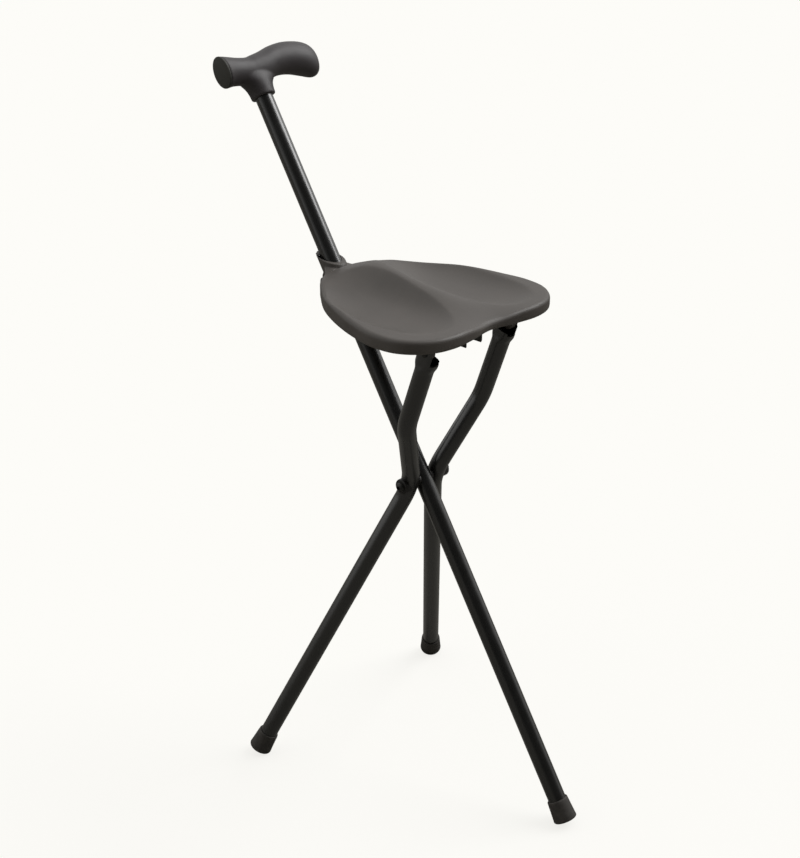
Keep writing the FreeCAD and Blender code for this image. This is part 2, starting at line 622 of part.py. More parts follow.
# How far both sides of the rim rise over its front: share of the seat's length, height in mm.
RIM_RISE = [
    (0.0, 0.8), (0.08, 3.5), (0.18, 6.2), (0.3, 6.4), (0.45, 4.6), (0.6, 2.6), (0.72, 1.6), (0.86, 0.6),
    (0.95, 0.0)]

# Each hollow is an oval dish: its middle and half sizes in shares of the seat's length and half
# width, and how far its front end is turned outwards, in degrees.
HOLLOW = {"along": 0.52, "across": 0.45, "long": 0.41, "wide": 0.395, "turn": 8.5, "square": 2.3}


def seat_height(along, across):
    """Height of the seat's top over the hinge line, at a distance from the seat's rear edge."""
    length, half = size_of["seat_length"], size_of["seat_width"] / 2
    share = along / length
    ridge = eased(RIDGE, share, 1) * math.exp(-(across / eased(RIDGE, share, 2)) ** 2)
    turn = math.radians(HOLLOW["turn"])
    ahead, aside = along - HOLLOW["along"] * length, abs(across) - HOLLOW["across"] * half
    long_part = (ahead * math.cos(turn) + aside * math.sin(turn)) / (HOLLOW["long"] * length)
    wide_part = (aside * math.cos(turn) - ahead * math.sin(turn)) / (HOLLOW["wide"] * half)
    square = HOLLOW["square"]
    inside = 1 - (abs(long_part) ** square + abs(wide_part) ** square) ** (1 / square)
    inside = min(1.0, (inside + math.sqrt(inside ** 2 + 0.001)) / 2)
    depth = size_of["dish"] * (1 - (1 - inside) ** 3)
    return size_of["rim_top"] + eased(RIM_RISE, share, 1) + ridge - depth


def seat_outline(inset=0.0):
    """The seat's outline as a level face, drawn in by an inset. It is one smooth closed curve."""
    rear = size_of["seat_setback"]
    half = size_of["seat_rear"] / 2
    right = [Vector(rear + share * size_of["seat_length"], part * size_of["seat_width"] / 2, 0)
             for share, part in SEAT_OUTLINE]
    left = [Vector(spot.x, -spot.y, 0) for spot in reversed(right[:-1])]
    back = [Vector(rear, share * half, 0) for share in (-0.98, -0.6, -0.2, 0.2, 0.6, 0.98)]
    spots = back + right + left
    curve = Part.BSplineCurve()
    curve.interpolate(Points=spots, PeriodicFlag=True)
    if inset:
        ways = [curve.tangent(curve.parameter(spot))[0] for spot in spots]
        spots = [spot + Vector(way.y, -way.x, 0) * inset for spot, way in zip(spots, ways)]
        curve = Part.BSplineCurve()
        curve.interpolate(Points=spots, PeriodicFlag=True)
    first, last = curve.FirstParameter, curve.LastParameter
    cuts = [first + (last - first) * index / 8 for index in range(9)]
    return Part.Face(Part.Wire([curve.toShape(*ends) for ends in zip(cuts, cuts[1:])]))


def seat_block(inset, lower, floor):
    """Everything under the top surface, inside the outline and over a floor height."""
    margin = 12.0
    steps_x, steps_y = 24, 30
    rear = size_of["seat_setback"]
    span_x = size_of["seat_length"] + 2 * margin
    span_y = size_of["seat_width"] + 2 * margin
    grid = []
    for i in range(steps_x + 1):
        along = -margin + span_x * i / steps_x
        row = []
        for j in range(steps_y + 1):
            across = -span_y / 2 + span_y * j / steps_y
            row.append(Vector(rear + along, across, seat_height(along, across) - lower))
        grid.append(row)
    surface = Part.BSplineSurface()
    surface.interpolate(grid)
    under = surface.toShape().extrude(Vector(0, 0, -200))
    outline = seat_outline(inset)
    outline.translate(Vector(0, 0, floor))
    return under.common(outline.extrude(Vector(0, 0, 100)))


def upper_edges(solid, height):
    return [edge for edge in solid.Edges if edge.BoundBox.ZMin > height]


def box(low, high):
    return Part.makeBox(high[0] - low[0], high[1] - low[1], high[2] - low[2], Vector(*low))


def rod(radius, start, end):
    axis = Vector(*end) - Vector(*start)
    return Part.makeCylinder(radius, axis.Length, Vector(*start), axis)


def seat_ribs(cavity):
    """Ribs that stiffen the shell: along both sides of the channel and round the lugs."""
    half = size_of["rib"] / 2
    low = size("rim_bottom") + size_of["rib_clear"]
    high = size_of["rim_top"] + 40
    front = size_of["seat_setback"] + size_of["seat_length"]
    side = size_of["seat_width"] / 2
    hip_x, hip_y = size("hip_x"), size_of["hip_spread"]
    lug_y, lug_x = size("lug_half") + half, size_of["lug_round"] + half
    channel = size("notch_half") + size_of["moving_gap"] + half
    ribs = []
    for sign in (-1, 1):
        for across in (channel, hip_y - lug_y, hip_y + lug_y):
            ribs.append(box((0, sign * across - half, low), (front, sign * across + half, high)))
        for along in (hip_x - lug_x, hip_x + lug_x, hip_x / 2):
            ends = sorted((sign * channel, sign * side))
            ribs.append(box((along - half, ends[0], low), (along + half, ends[1], high)))
    return [rib.common(cavity) for rib in ribs]


def make_seat():
    """The seat: a moulded shell with a turned-down rim, two hollows and a ridge between them."""
    rim_bottom = size("rim_bottom")
    wall = size_of["seat_wall"]
    middle = rim_bottom + size_of["rim_height"] / 3
    outer = seat_block(0, 0, rim_bottom)
    outer = outer.makeFillet(size_of["rim_round"], upper_edges(outer, middle))
    tall = seat_block(wall / 2, wall / 2, -200)
    cavity = seat_block(wall, wall, rim_bottom - 10)
    shell = outer.cut(cavity)
    parts = seat_ribs(cavity)
    hip_x, hip_z, hip_y = size("hip_x"), size("hip_z"), size_of["hip_spread"]
    lug_round, lug_half = size_of["lug_round"], size("lug_half")
    high = size_of["rim_top"] + 40
    for sign in (-1, 1):
        ends = sorted((sign * (hip_y + size("lug_inner")), sign * (hip_y + lug_half)))
        stem = box((hip_x - lug_round, ends[0], hip_z), (hip_x + lug_round, ends[1], high))
        eye = rod(lug_round, (hip_x, ends[0], hip_z), (hip_x, ends[1], hip_z))
        parts.append(stem.fuse(eye).common(tall))
        ends = sorted((sign * (size_of["knuckle_inner"] + size_of["moving_gap"]),
                       sign * size_of["knuckle_outer"]))
        radius = size_of["knuckle"] / 2
        parts.append(rod(radius, (0, ends[0], 0), (0, ends[1], 0)))
        parts.append(box((0, ends[0], rim_bottom + 0.3),
                         (size_of["seat_setback"] + wall, ends[1], radius)))
        post = rod(size_of["clip_screw"], (clip_screw_x(sign), 0, size("clip_top")),
                   (clip_screw_x(sign), 0, high))
        parts.append(post.common(tall))
    shell = shell.fuse(parts)
    notch = size("notch_half")
    reach = size_of["collar"] / 2 + size_of["moving_gap"] + 0.4
    lean = math.radians(size_of["shaft_tilt"])
    upward = (-100 * math.sin(lean), 0, 100 * math.cos(lean))
    shell = shell.cut([rod(reach, (0, -notch, 0), (0, notch, 0)), rod(reach, (0, 0, 0), upward)])
    for sign in (-1, 1):
        hole = size_of["seat_pin"] / 2 + size_of["running_gap"]
        ends = sign * hip_y - 2 * lug_half, sign * hip_y + 2 * lug_half
        shell = shell.cut(rod(hole, (hip_x, ends[0], hip_z), (hip_x, ends[1], hip_z)))
        knuckle = size_of["knuckle_outer"]
        shell = shell.cut(rod(size_of["hinge_pin"] / 2, (0, -knuckle, 0), (0, knuckle, 0)))
        screw = rod(size_of["clip_screw"] / 2, (clip_screw_x(sign), 0, size("clip_top") - 1),
                    (clip_screw_x(sign), 0, size("clip_top") + 2.5 * size_of["clip_screw"]))
        shell = shell.cut(screw)
    feature = doc.addObject("Part::Feature", "seat_shell")
    feature.Shape = shell.removeSplitter().Solids[0]
    keep(feature, "seat_shell", seat_frame)


def clip_screw_x(sign):
    return size("clip_along") + sign * size_of["clip_screw_pitch"] / 2


def make_clip():
    """The spring clip under the seat that takes hold of the stick when it is folded."""
    body = doc.addObject("PartDesign::Body", "shaft_clip")
    primitive(body, "AdditiveBox", "clip_base",
              {"Length": "clip_length", "Width": "clip_gap + 2 * clip_wall", "Height": "clip_plate"},
              ("clip_rear", "-clip_gap / 2 - clip_wall", "clip_top - clip_plate"))
    for name, place in (("left_prong", "-clip_gap / 2 - clip_wall"), ("right_prong", "clip_gap / 2")):
        primitive(body, "AdditiveBox", name,
                  {"Length": "clip_prong", "Width": "clip_wall", "Height": "clip_top + clip_tip"},
                  ("clip_along - clip_prong / 2", place, "-clip_tip"))
    for sign in (-1, 1):
        place = f"clip_along + {sign} * clip_screw_pitch / 2"
        name = "rear" if sign < 0 else "front"
        primitive(body, "SubtractiveCylinder", f"{name}_screw_hole",
                  {"Radius": "clip_screw / 2", "Height": "2 * clip_plate"},
                  (place, "0", "clip_top - 1.5 * clip_plate"))
        primitive(body, "SubtractiveCylinder", f"{name}_screw_seat",
                  {"Radius": "clip_screw", "Height": "clip_plate"},
                  (place, "0", "clip_top - 1.6 * clip_plate"))
    keep(body, "shaft_clip", seat_frame)


def make_clip_screws():
    for name, sign in (("rear", -1), ("front", 1)):
        screw = turned(f"clip_screw_{name}", [
            ("0", "0.1 * clip_plate"), ("clip_screw", "0.1 * clip_plate"),
            ("clip_screw", "0.4 * clip_plate"), ("clip_screw / 2", "0.4 * clip_plate"),
            ("clip_screw / 2", "clip_plate + 2 * clip_screw"), ("0", "clip_plate + 2.4 * clip_screw")])
        spot = Vector(clip_screw_x(sign), 0, size("clip_top - clip_plate"))
        keep(screw, f"clip_screw_{name}", in_frame(seat_frame, spot))


# The grip as ovals along Y: place, height of the centre above the lower rim, half height, half
# width. Places run from -1 at the nose to 0 at the stick's axis and 1 at the palm end.
GRIP = [
    (-1.0, 34.7, 17.8, 13.2), (-0.8, 34.4, 16.6, 12.4), (-0.45, 32.4, 15.6, 12.3),
    (-0.1, 31.3, 15.6, 12.8), (0.14, 33.4, 17.0, 13.8), (0.33, 38.2, 17.0, 14.6),
    (0.53, 39.2, 18.4, 15.0), (0.72, 36.4, 20.2, 15.0), (0.86, 33.0, 20.6, 13.6),
    (0.95, 31.8, 16.6, 10.4), (0.99, 31.6, 9.4, 6.0)]

# The neck as ovals along the stick: height above the lower rim, half length along Y and half
# width, both as a share of the neck's radius at the rim.
NECK = [(0.0, 1.0, 1.0), (5.5, 1.04, 0.98), (12.5, 1.22, 0.97), (18.5, 1.6, 0.95), (27.0, 2.1, 0.88)]


def oval(centre, long_axis, half_long, short_axis, half_short):
    """A closed oval wire with its half axes along two directions."""
    if half_short > half_long:
        long_axis, half_long, short_axis, half_short = short_axis, half_short, long_axis, half_long
    tip = centre + long_axis * half_long
    side = centre + short_axis * half_short
    return Part.Wire([Part.Ellipse(tip, side, centre).toShape()])


def grip_place(share):
    return share * (size_of["handle_palm"] if share > 0 else size_of["handle_nose"])


def grip_oval(share, shrink=0.0):
    rim = size_of["handle_along"]
    centre, half_height, half_width = [eased(GRIP, share, column) for column in (1, 2, 3)]
    return oval(Vector(0, grip_place(share), rim + centre), Z_AXIS, half_height - shrink,
                X_AXIS, half_width - shrink)


def make_handle():
    """The moulded handle: a grip across the stick on a flared neck, bored for the tube."""
    rim = size_of["handle_along"]
    radius = size_of["handle_neck"] / 2
    grip = Part.makeLoft([grip_oval(row[0]) for row in GRIP], True, False)
    neck = Part.makeLoft([oval(Vector(0, 0, rim + rise), Y_AXIS, radius * along, X_AXIS, radius * across)
                          for rise, along, across in NECK], True, False)
    body = grip.fuse(neck)
    body = body.cut(rod(size("tube_radius"), (0, 0, rim - 1), (0, 0, rim + size_of["handle_socket"])))
    recess = Part.Face(grip_oval(-1.0, size_of["seat_wall"])).extrude(Vector(0, size_of["cap_spigot"], 0))
    body = body.cut(recess)
    screw = size_of["handle_screw"]
    head = -radius + 1
    body = body.cut(rod(screw / 2, (head, 0, rim + screw_rise()), (0, 0, rim + screw_rise())))
    body = body.cut(rod(screw, (2 * head, 0, rim + screw_rise()), (head, 0, rim + screw_rise())))
    feature = doc.addObject("Part::Feature", "handle")
    feature.Shape = body.removeSplitter().Solids[0]
    keep(feature, "handle", shaft_frame)


def screw_rise():
    """Height of the handle's screw above the lower rim."""
    return size_of["handle_socket"] / 2


def make_handle_cap():
    """The oval cap that closes the nose of the handle."""
    disc = Part.Face(grip_oval(-1.0)).extrude(Vector(0, -size_of["cap_thickness"], 0))
    spigot = Part.Face(grip_oval(-1.0, size_of["seat_wall"])).extrude(
        Vector(0, size_of["cap_spigot"], 0))
    feature = doc.addObject("Part::Feature", "handle_cap")
    feature.Shape = disc.fuse(spigot).removeSplitter()
    keep(feature, "handle_cap", shaft_frame)


def make_handle_screw():
    """The self-tapping screw behind the neck that holds the handle on the tube."""
    screw = turned("handle_screw", [
        ("0", "0"), ("handle_screw", "0"), ("handle_screw", "-1.5"), ("handle_screw / 2", "-1.5"),
        ("handle_screw / 2", "-6.5"), ("0", "-8.5")])
    turn = Rotation(Y_AXIS, -90)
    spot = Vector(-size_of["handle_neck"] / 2 - 0.5, 0, size_of["handle_along"] + screw_rise())
    keep(screw, "handle_screw", in_frame(shaft_frame, spot, turn))


size_of = {name: size(name) for name in SIZES}
make_main_shaft()
front_ferrule = make_ferrule("front_ferrule", "sin(shaft_tilt)", "cos(shaft_tilt)", "front_lift")
keep(front_ferrule, "front_ferrule", shaft_frame)
keep(make_foot_disc("front_foot_disc"), "front_foot_disc", shaft_frame)
make_handle()
make_handle_cap()
make_handle_screw()
make_pivot()
make_stop_rivet()
for side_name, side in SIDES.items():
    make_leg(side_name, side)
    make_leg_fittings(side_name, side)
make_collar()
make_hinge_pins()
make_seat()
make_clip()
make_clip_screws()
doc.recompute()

for feature in doc.Objects:
    if "Invalid" in feature.State or "Error" in feature.State:
        raise ValueError(f"{feature.Label}: {feature.State}")

# The origin is under the middle of the whole object, at ground level.
whole = FreeCAD.BoundBox()
for feature, placement in pieces:
    feature.Placement = placement
    whole.add(feature.Shape.optimalBoundingBox(False, False))
middle = Vector(-whole.Center.x, -whole.Center.y, -whole.ZMin)
for feature, placement in pieces:
    feature.Placement = Placement(middle, Rotation()).multiply(placement)
    shape = feature.Shape
    if shape.isNull() or not shape.isValid() or len(shape.Solids) != 1:
        raise ValueError(f"{feature.Label}: not one valid solid")

os.makedirs("parts", exist_ok=True)
for feature, placement in pieces:
    feature.Shape.exportStep(f"parts/{feature.Label}.step")

hinge = seat_frame.Base + middle
seat_pin = leg_frame.multVec(Vector(0, 0, size("leg_reach"))) + middle
print("pieces", len(pieces), "size", whole.XLength, whole.YLength, whole.ZLength)
print("pivot", pivot + middle, "hinge", hinge, "seat pins", seat_pin, "fold", size("fold"))
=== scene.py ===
# %% [markdown]
# This stick opens into a three-legged seat: a straight tube with a moulded grip, two bent tube
# legs on one cross bolt, and a saddle seat hinged to a collar that slides on the stick. The packed
# construction model gives every place and every joint. Blender only dresses it, so each piece
# below is drawn in millimetres in the local frame of the part it belongs to, then set in place.

import itertools
import json
from math import acos, atan2, copysign, cos, degrees, exp, pi, radians, sin, sqrt, tan

import bmesh
import bpy
import numpy as np
from mathutils import Matrix, Vector


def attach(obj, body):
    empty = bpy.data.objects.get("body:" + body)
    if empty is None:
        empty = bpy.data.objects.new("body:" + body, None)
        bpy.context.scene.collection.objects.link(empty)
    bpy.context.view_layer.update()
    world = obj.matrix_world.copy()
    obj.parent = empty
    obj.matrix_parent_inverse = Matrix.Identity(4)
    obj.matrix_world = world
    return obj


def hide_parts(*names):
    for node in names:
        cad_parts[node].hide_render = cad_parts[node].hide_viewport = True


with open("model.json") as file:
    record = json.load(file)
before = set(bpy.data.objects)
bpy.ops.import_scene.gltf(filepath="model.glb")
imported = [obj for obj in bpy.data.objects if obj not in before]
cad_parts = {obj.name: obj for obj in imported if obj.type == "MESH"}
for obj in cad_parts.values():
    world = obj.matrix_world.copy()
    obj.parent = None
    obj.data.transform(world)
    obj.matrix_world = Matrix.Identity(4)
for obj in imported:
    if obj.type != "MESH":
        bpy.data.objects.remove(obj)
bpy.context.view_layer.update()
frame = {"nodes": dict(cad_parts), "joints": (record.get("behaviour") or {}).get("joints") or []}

# %% [markdown]
# Three local frames are enough. The stick's frame has Z along the tube from its foot, the legs'
# frame has Z up the plane of a leg from the cross bolt, and the seat's frame is level at the hinge
# between seat and collar. All of them come from the joints, so they follow a new pack.

# %% Local frames, in millimetres
MM = 0.001
PIVOT_ALONG = 411.0  # from the foot of the stick up to the cross bolt
ACROSS = Vector((0, 1, 0))

spots = {joint["name"]: Vector(joint["pos_m"]) for joint in frame["joints"]}
bolt_spot, pin_spot, hinge_spot = spots["leg_fold"], spots["seat_fold"], spots["collar_tilt"]


def frame_at(spot, up):
    """A frame in metres whose Z runs along up and whose Y is the object's own Y."""
    up = up.normalized()
    turn = Matrix((ACROSS.cross(up), ACROSS, up)).transposed()
    return Matrix.Translation(spot) @ turn.to_4x4() @ Matrix.Scale(MM, 4)


stick_up = (hinge_spot - bolt_spot).normalized()
leg_up = (pin_spot - bolt_spot).normalized()
STICK = frame_at(bolt_spot - stick_up * PIVOT_ALONG * MM, stick_up)
BOLT_ON_STICK = frame_at(bolt_spot, stick_up)
LEG = frame_at(bolt_spot, leg_up)
SEAT = frame_at(hinge_spot, Vector((0, 0, 1)))
LEAN = atan2(-stick_up.x, stick_up.z)
LEG_LEAN = atan2(leg_up.x, leg_up.z)
LEG_REACH = (pin_spot - bolt_spot).length / MM
HINGE_ALONG = (hinge_spot - bolt_spot).length / MM + PIVOT_ALONG
print("lean", round(degrees(LEAN), 2), "leg lean", round(degrees(LEG_LEAN), 2),
      "reach", round(LEG_REACH, 2), "hinge along", round(HINGE_ALONG, 2))

# %% [markdown]
# Each finish is a small node tree. Helpers keep them readable: one turns a hex colour, which is how
# a paint chip is read off a screen, into the linear numbers that Cycles works in, one adds a node
# with its settings and its links, and the rest do what several finishes need.

# %% Colour and node helpers
def linear(hex_colour):
    """An sRGB hex colour as linear RGBA."""
    parts = [int(hex_colour[i:i + 2], 16) / 255 for i in (1, 3, 5)]
    return [p / 12.92 if p <= 0.04045 else ((p + 0.055) / 1.055) ** 2.4 for p in parts] + [1.0]


def node(tree, kind, settings=None, links=None):
    """Adds a node. Settings set its properties or inputs, and links join its inputs to outputs."""
    made = tree.nodes.new("ShaderNode" + kind)
    for key, value in (settings or {}).items():
        if isinstance(key, int) or key in made.inputs:
            made.inputs[key].default_value = value
        else:
            setattr(made, key, value)
    for key, output in (links or {}).items():
        tree.links.new(output, made.inputs[key])
    return made


def new_finish(name):
    """An empty material, its tree, and a texture coordinate that is fixed to the piece."""
    finish = bpy.data.materials.new(name)
    finish.use_nodes = True
    tree = finish.node_tree
    tree.nodes.clear()
    return finish, tree, node(tree, "TexCoord").outputs["Object"]


def shown(tree, kind, settings, links):
    """Adds the shader of a finish and joins it to the output."""
    shader = node(tree, kind, settings, links)
    node(tree, "OutputMaterial", {}, {0: shader.outputs[0]})


def noise(tree, place, size_mm, detail=3.0, roughness=0.5):
    """A noise value whose blobs are about size_mm across."""
    return node(tree, "TexNoise",
                {"Scale": 1000.0 / size_mm, "Detail": detail, "Roughness": roughness},
                {"Vector": place}).outputs["Fac"]


def ranged(tree, value, before, after, **more):
    """A value brought from one span to another."""
    spans = dict(zip(("From Min", "From Max", "To Min", "To Max"), before + after))
    return node(tree, "MapRange", {**more, **spans}, {"Value": value}).outputs["Result"]


def mottled(tree, value, span, dark, light):
    """A colour that drifts between two hex colours as a value goes through a span."""
    share = ranged(tree, value, span, (0.0, 1.0))
    return node(tree, "Mix", {"data_type": "RGBA", 6: linear(dark), 7: linear(light)},
                {0: share}).outputs[2]


def bump(tree, height, strength, depth_mm, **under):
    """A bump, on top of another one if its Normal is given."""
    return node(tree, "Bump", {"Strength": strength, "Distance": depth_mm * MM},
                {"Height": height, **under}).outputs["Normal"]


# %% [markdown]
# The tubes are thin steel, dipped and stoved in gloss black enamel. The eye reads the gloss from
# the long streaks down the tube, and the thickness of the coat from the faint orange peel that
# makes them waver. A dielectric base with a clear coat gives both.

# %% Black enamel on the tubes
def black_enamel():
    finish, tree, place = new_finish("stoved_black_enamel")
    peel, dust = noise(tree, place, 3.5, 2.0), noise(tree, place, 0.9, 4.0, 0.7)
    shown(tree, "BsdfPrincipled",
          {"IOR": 1.6, "Coat Weight": 0.9, "Coat Roughness": 0.2, "Coat IOR": 1.6},
          {"Base Color": mottled(tree, dust, (0.55, 0.8), "#12110f", "#22201d"),
           "Roughness": ranged(tree, noise(tree, place, 26.0), (0.3, 0.75), (0.26, 0.4)),
           "Normal": bump(tree, peel, 0.12, 0.05)})
    return finish


ENAMEL = black_enamel()

# %% [markdown]
# The seat is polypropylene, injection moulded in a mould whose face was spark eroded. That leaves
# a fine even grain, which spreads the light, so the seat looks satin and its hollows shade softly.
# The real grain is about 0.3 mm and too fine for the picture, so it is drawn at 1.1 mm.

# %% Spark-grained polypropylene
def grained_polypropylene(name, dark, light, rough, grain_mm=1.1, depth=0.05):
    finish, tree, place = new_finish(name)
    cloud = noise(tree, place, 34.0, 4.0, 0.55)
    grain = noise(tree, place, grain_mm, 3.0, 0.6)
    pits = node(tree, "TexVoronoi", {"Scale": 1000.0 / (1.6 * grain_mm)},
                {"Vector": place}).outputs["Distance"]
    shown(tree, "BsdfPrincipled", {"IOR": 1.49},
          {"Base Color": mottled(tree, cloud, (0.3, 0.72), dark, light),
           "Roughness": ranged(tree, cloud, (0.3, 0.7), (rough - 0.05, rough + 0.06)),
           "Normal": bump(tree, pits, 0.25, depth, Normal=bump(tree, grain, 0.35, depth))})
    return finish


SEAT_PLASTIC = grained_polypropylene("seat_polypropylene", "#4b4642", "#55504c", 0.5)
GRIP_PLASTIC = grained_polypropylene("grip_polypropylene", "#393537", "#444041", 0.5, 0.9, 0.04)
CAP_PLASTIC = grained_polypropylene("cap_polypropylene", "#30302c", "#393832", 0.55, 0.9, 0.04)
DARK_PLASTIC = grained_polypropylene("black_nylon", "#1b1917", "#24211f", 0.42, 0.9, 0.03)

# %% [markdown]
# The feet are moulded rubber, which has no clear highlight and picks up pale dust. The bolt, nut,
# rivets and screws are steel with an oiled black oxide: nearly as dark as the tubes but duller,
# with greyer specks where the oxide has rubbed thin. The discs in the feet and the sleeve in the
# stick are zinc-plated steel, and the bushes are undyed nylon. All four are a cloudy colour over a
# fine bump or none, so one function makes them.

# %% Rubber, steel and nylon
def cloudy_finish(name, settings, cloud, span, colours, dents=None):
    """Cloud is a noise's size and detail. Dents are the same, then a bump's strength and depth."""
    finish, tree, place = new_finish(name)
    links = {"Base Color": mottled(tree, noise(tree, place, *cloud), span, *colours)}
    if dents:
        links["Normal"] = bump(tree, noise(tree, place, *dents[:2]), *dents[2:])
    shown(tree, "BsdfPrincipled", settings, links)
    return finish


RUBBER = cloudy_finish("moulded_rubber", {"IOR": 1.5, "Roughness": 0.68}, (6.0, 5.0, 0.65),
                       (0.35, 0.75), ("#322f2c", "#46423e"), (1.2, 3.0, 0.3, 0.06))
BLACK_STEEL = cloudy_finish("black_oxide_steel", {"Metallic": 0.3, "Roughness": 0.4},
                            (2.2, 4.0, 0.6), (0.55, 0.8), ("#2b2a28", "#4b4946"),
                            (0.8, 2.0, 0.15, 0.03))
ZINC = cloudy_finish("zinc_plated_steel", {"Metallic": 1.0, "Roughness": 0.34}, (5.0, 3.0),
                     (0.3, 0.7), ("#b4b2ac", "#cfcdc8"), (0.7, 2.0, 0.1, 0.02))
NYLON = cloudy_finish("natural_nylon", {"IOR": 1.53, "Roughness": 0.42, "Subsurface Weight": 0.1},
                      (4.0, 3.0), (0.3, 0.7), ("#d2cdbf", "#ded9cc"))
print("finishes", [finish.name for finish in bpy.data.materials])

# %% [markdown]
# Every piece is a mesh in millimetres. One helper turns points and faces into an object, sets it
# in its frame, gives it its finish and lets it ride on its body. Pieces that are turned or swept
# are rows of rings, so a second helper joins rings into a skin.

# %% Piece helpers
SIDES = (("left", -1), ("right", 1))


def raw_piece(name, points, faces):
    """A loose object, still in its own millimetres."""
    mesh = bpy.data.meshes.new(name)
    mesh.from_pydata([tuple(p) for p in points], [], faces)
    mesh.validate()
    work = bmesh.new()
    work.from_mesh(mesh)
    bmesh.ops.remove_doubles(work, verts=work.verts, dist=0.0005)
    bmesh.ops.recalc_face_normals(work, faces=work.faces)
    work.to_mesh(mesh)
    work.free()
    made = bpy.data.objects.new(name, mesh)
    bpy.context.scene.collection.objects.link(made)
    return made


def shaped(piece, kind, **settings):
    """Gives a piece a modifier and applies it."""
    modifier = piece.modifiers.new(kind.lower(), kind)
    for key, value in settings.items():
        setattr(modifier, key, value)
    view = bpy.context.evaluated_depsgraph_get()
    mesh = bpy.data.meshes.new_from_object(piece.evaluated_get(view))
    piece.modifiers.clear()
    piece.data = mesh
    return piece


def cut(piece, *tools, operation="DIFFERENCE"):
    """Cuts a piece with tools, or joins them to it, and removes the tools."""
    for tool in tools:
        shaped(piece, "BOOLEAN", object=tool, operation=operation, solver="EXACT")
        bpy.data.objects.remove(tool)
    return piece


def dress(piece, place, finish, body, stands_for=(), sharp=35.0):
    """Sets a piece in its frame, with its finish, its shading and the body it rides on."""
    piece.data.transform(place)
    piece.data.materials.clear()
    piece.data.materials.append(finish)
    piece.data.shade_smooth()
    piece.data.set_sharp_from_angle(angle=radians(sharp))
    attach(piece, body)
    if stands_for:
        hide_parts(*stands_for)
    points = np.array([v.co for v in piece.data.vertices])
    print(f"{piece.name}: {len(points)} points, mm", (np.ptp(points, axis=0) / MM).round(1).tolist())
    return piece


# %% Shape helpers
def skin(name, rings, loop=False):
    """A closed skin over rings that all have as many points. A loop goes back to the first ring."""
    count, last = len(rings[0]), len(rings) - 1
    pairs = [(i, i + 1) for i in range(last)] + ([(last, 0)] if loop else [])
    faces = [(i * count + k, i * count + (k + 1) % count, j * count + (k + 1) % count, j * count + k)
             for i, j in pairs for k in range(count)]
    if not loop:
        faces += [tuple(range(count)), tuple(range(last * count, (last + 1) * count))]
    return raw_piece(name, [point for ring in rings for point in ring], faces)


def round_angles(count):
    return np.linspace(0, 2 * pi, count, endpoint=False)


def arc(centre, radius, start, end, count):
    """Points on an arc. The radius is one number, or two for an oval."""
    wide, high = np.broadcast_to(radius, 2)
    return [(centre[0] + wide * cos(a), centre[1] + high * sin(a))
            for a in np.linspace(start, end, count)]


def turned(name, profile, steps=64):
    """A piece turned about Z from a closed profile of (radius, height)."""
    return skin(name, [[(r * cos(a), r * sin(a), z) for r, z in profile]
                       for a in round_angles(steps)], loop=True)


def bar(name, low, high):
    """A plain block, used for cutting."""
    faces = [(0, 1, 3, 2), (4, 6, 7, 5), (0, 4, 5, 1), (2, 3, 7, 6), (0, 2, 6, 4), (1, 5, 7, 3)]
    return raw_piece(name, itertools.product(*zip(low, high)), faces)


def rod(name, radius, start, end, steps=48):
    """A round rod between two points, used for cutting and joining."""
    start, end = Vector(start), Vector(end)
    turn = (end - start).to_track_quat("Z", "Y")
    return skin(name, [[centre + turn @ Vector((radius * cos(a), radius * sin(a), 0))
                        for a in round_angles(steps)] for centre in (start, end)])


def slab(name, outline, start, end, axis=1):
    """A block with a drawn outline in the plane across an axis, from start to end along it."""
    return skin(name, [[(*pair[:axis], level, *pair[axis:]) for pair in outline]
                       for level in (start, end)])


def bevelled(piece, width, segments=3):
    """Breaks the sharp edges of a piece."""
    return shaped(piece, "BEVEL", width=width, segments=segments, limit_method="ANGLE",
                  angle_limit=0.7)


def sideways(side):
    """A turn that lays what is drawn along Z out to one side."""
    return Matrix.Rotation(-side * pi / 2, 4, "X")


def cross_slot(screw, reach, half_wide, low, high):
    """Cuts the slot of a crosshead into a screw."""
    cut(screw, bar("cross_a", (-reach, -half_wide, low), (reach, half_wide, high)),
        bar("cross_b", (-half_wide, -reach, low), (half_wide, reach, high)))


def eased(stations, place, column):
    """Smooth value of one column of a station list, whose first column is the place."""
    places = [row[0] for row in stations]
    values = [row[column] for row in stations]
    if place <= places[0]:
        return values[0]
    if place >= places[-1]:
        return values[-1]
    last = len(places) - 1
    index = max(i for i in range(last) if places[i] <= place)
    slopes = [(values[min(i + 1, last)] - values[max(i - 1, 0)])
              / (places[min(i + 1, last)] - places[max(i - 1, 0)]) for i in (index, index + 1)]
    run = places[index + 1] - places[index]
    part = (place - places[index]) / run
    return (values[index] * (2 * part ** 3 - 3 * part ** 2 + 1)
            + slopes[0] * run * (part ** 3 - 2 * part ** 2 + part)
            + values[index + 1] * (3 * part ** 2 - 2 * part ** 3)
            + slopes[1] * run * (part ** 3 - part ** 2))


# %% [markdown]
# The seat is one moulded shell, shaped like a saddle: two hollows for the thighs, a ridge between
# them that dies away towards a dip in the front edge, and a rolled rim all round. Its outline is
# a smooth curve through a few points, given for one side as shares of the length and the width.

# %% The seat's outline
SEAT_REAR, SEAT_LONG, SEAT_HALF, REAR_HALF = 6.6, 222.5, 119.0, 27.0
SEAT_MIDDLE = np.array([120.0, 0.0])
OUTLINE = [
    (0.058, 0.39), (0.135, 0.522), (0.27, 0.712), (0.427, 0.856), (0.598, 0.957), (0.733, 1.0),
    (0.858, 0.962), (0.935, 0.853), (0.984, 0.697), (1.0, 0.538), (0.987, 0.27), (0.962, 0.0)]


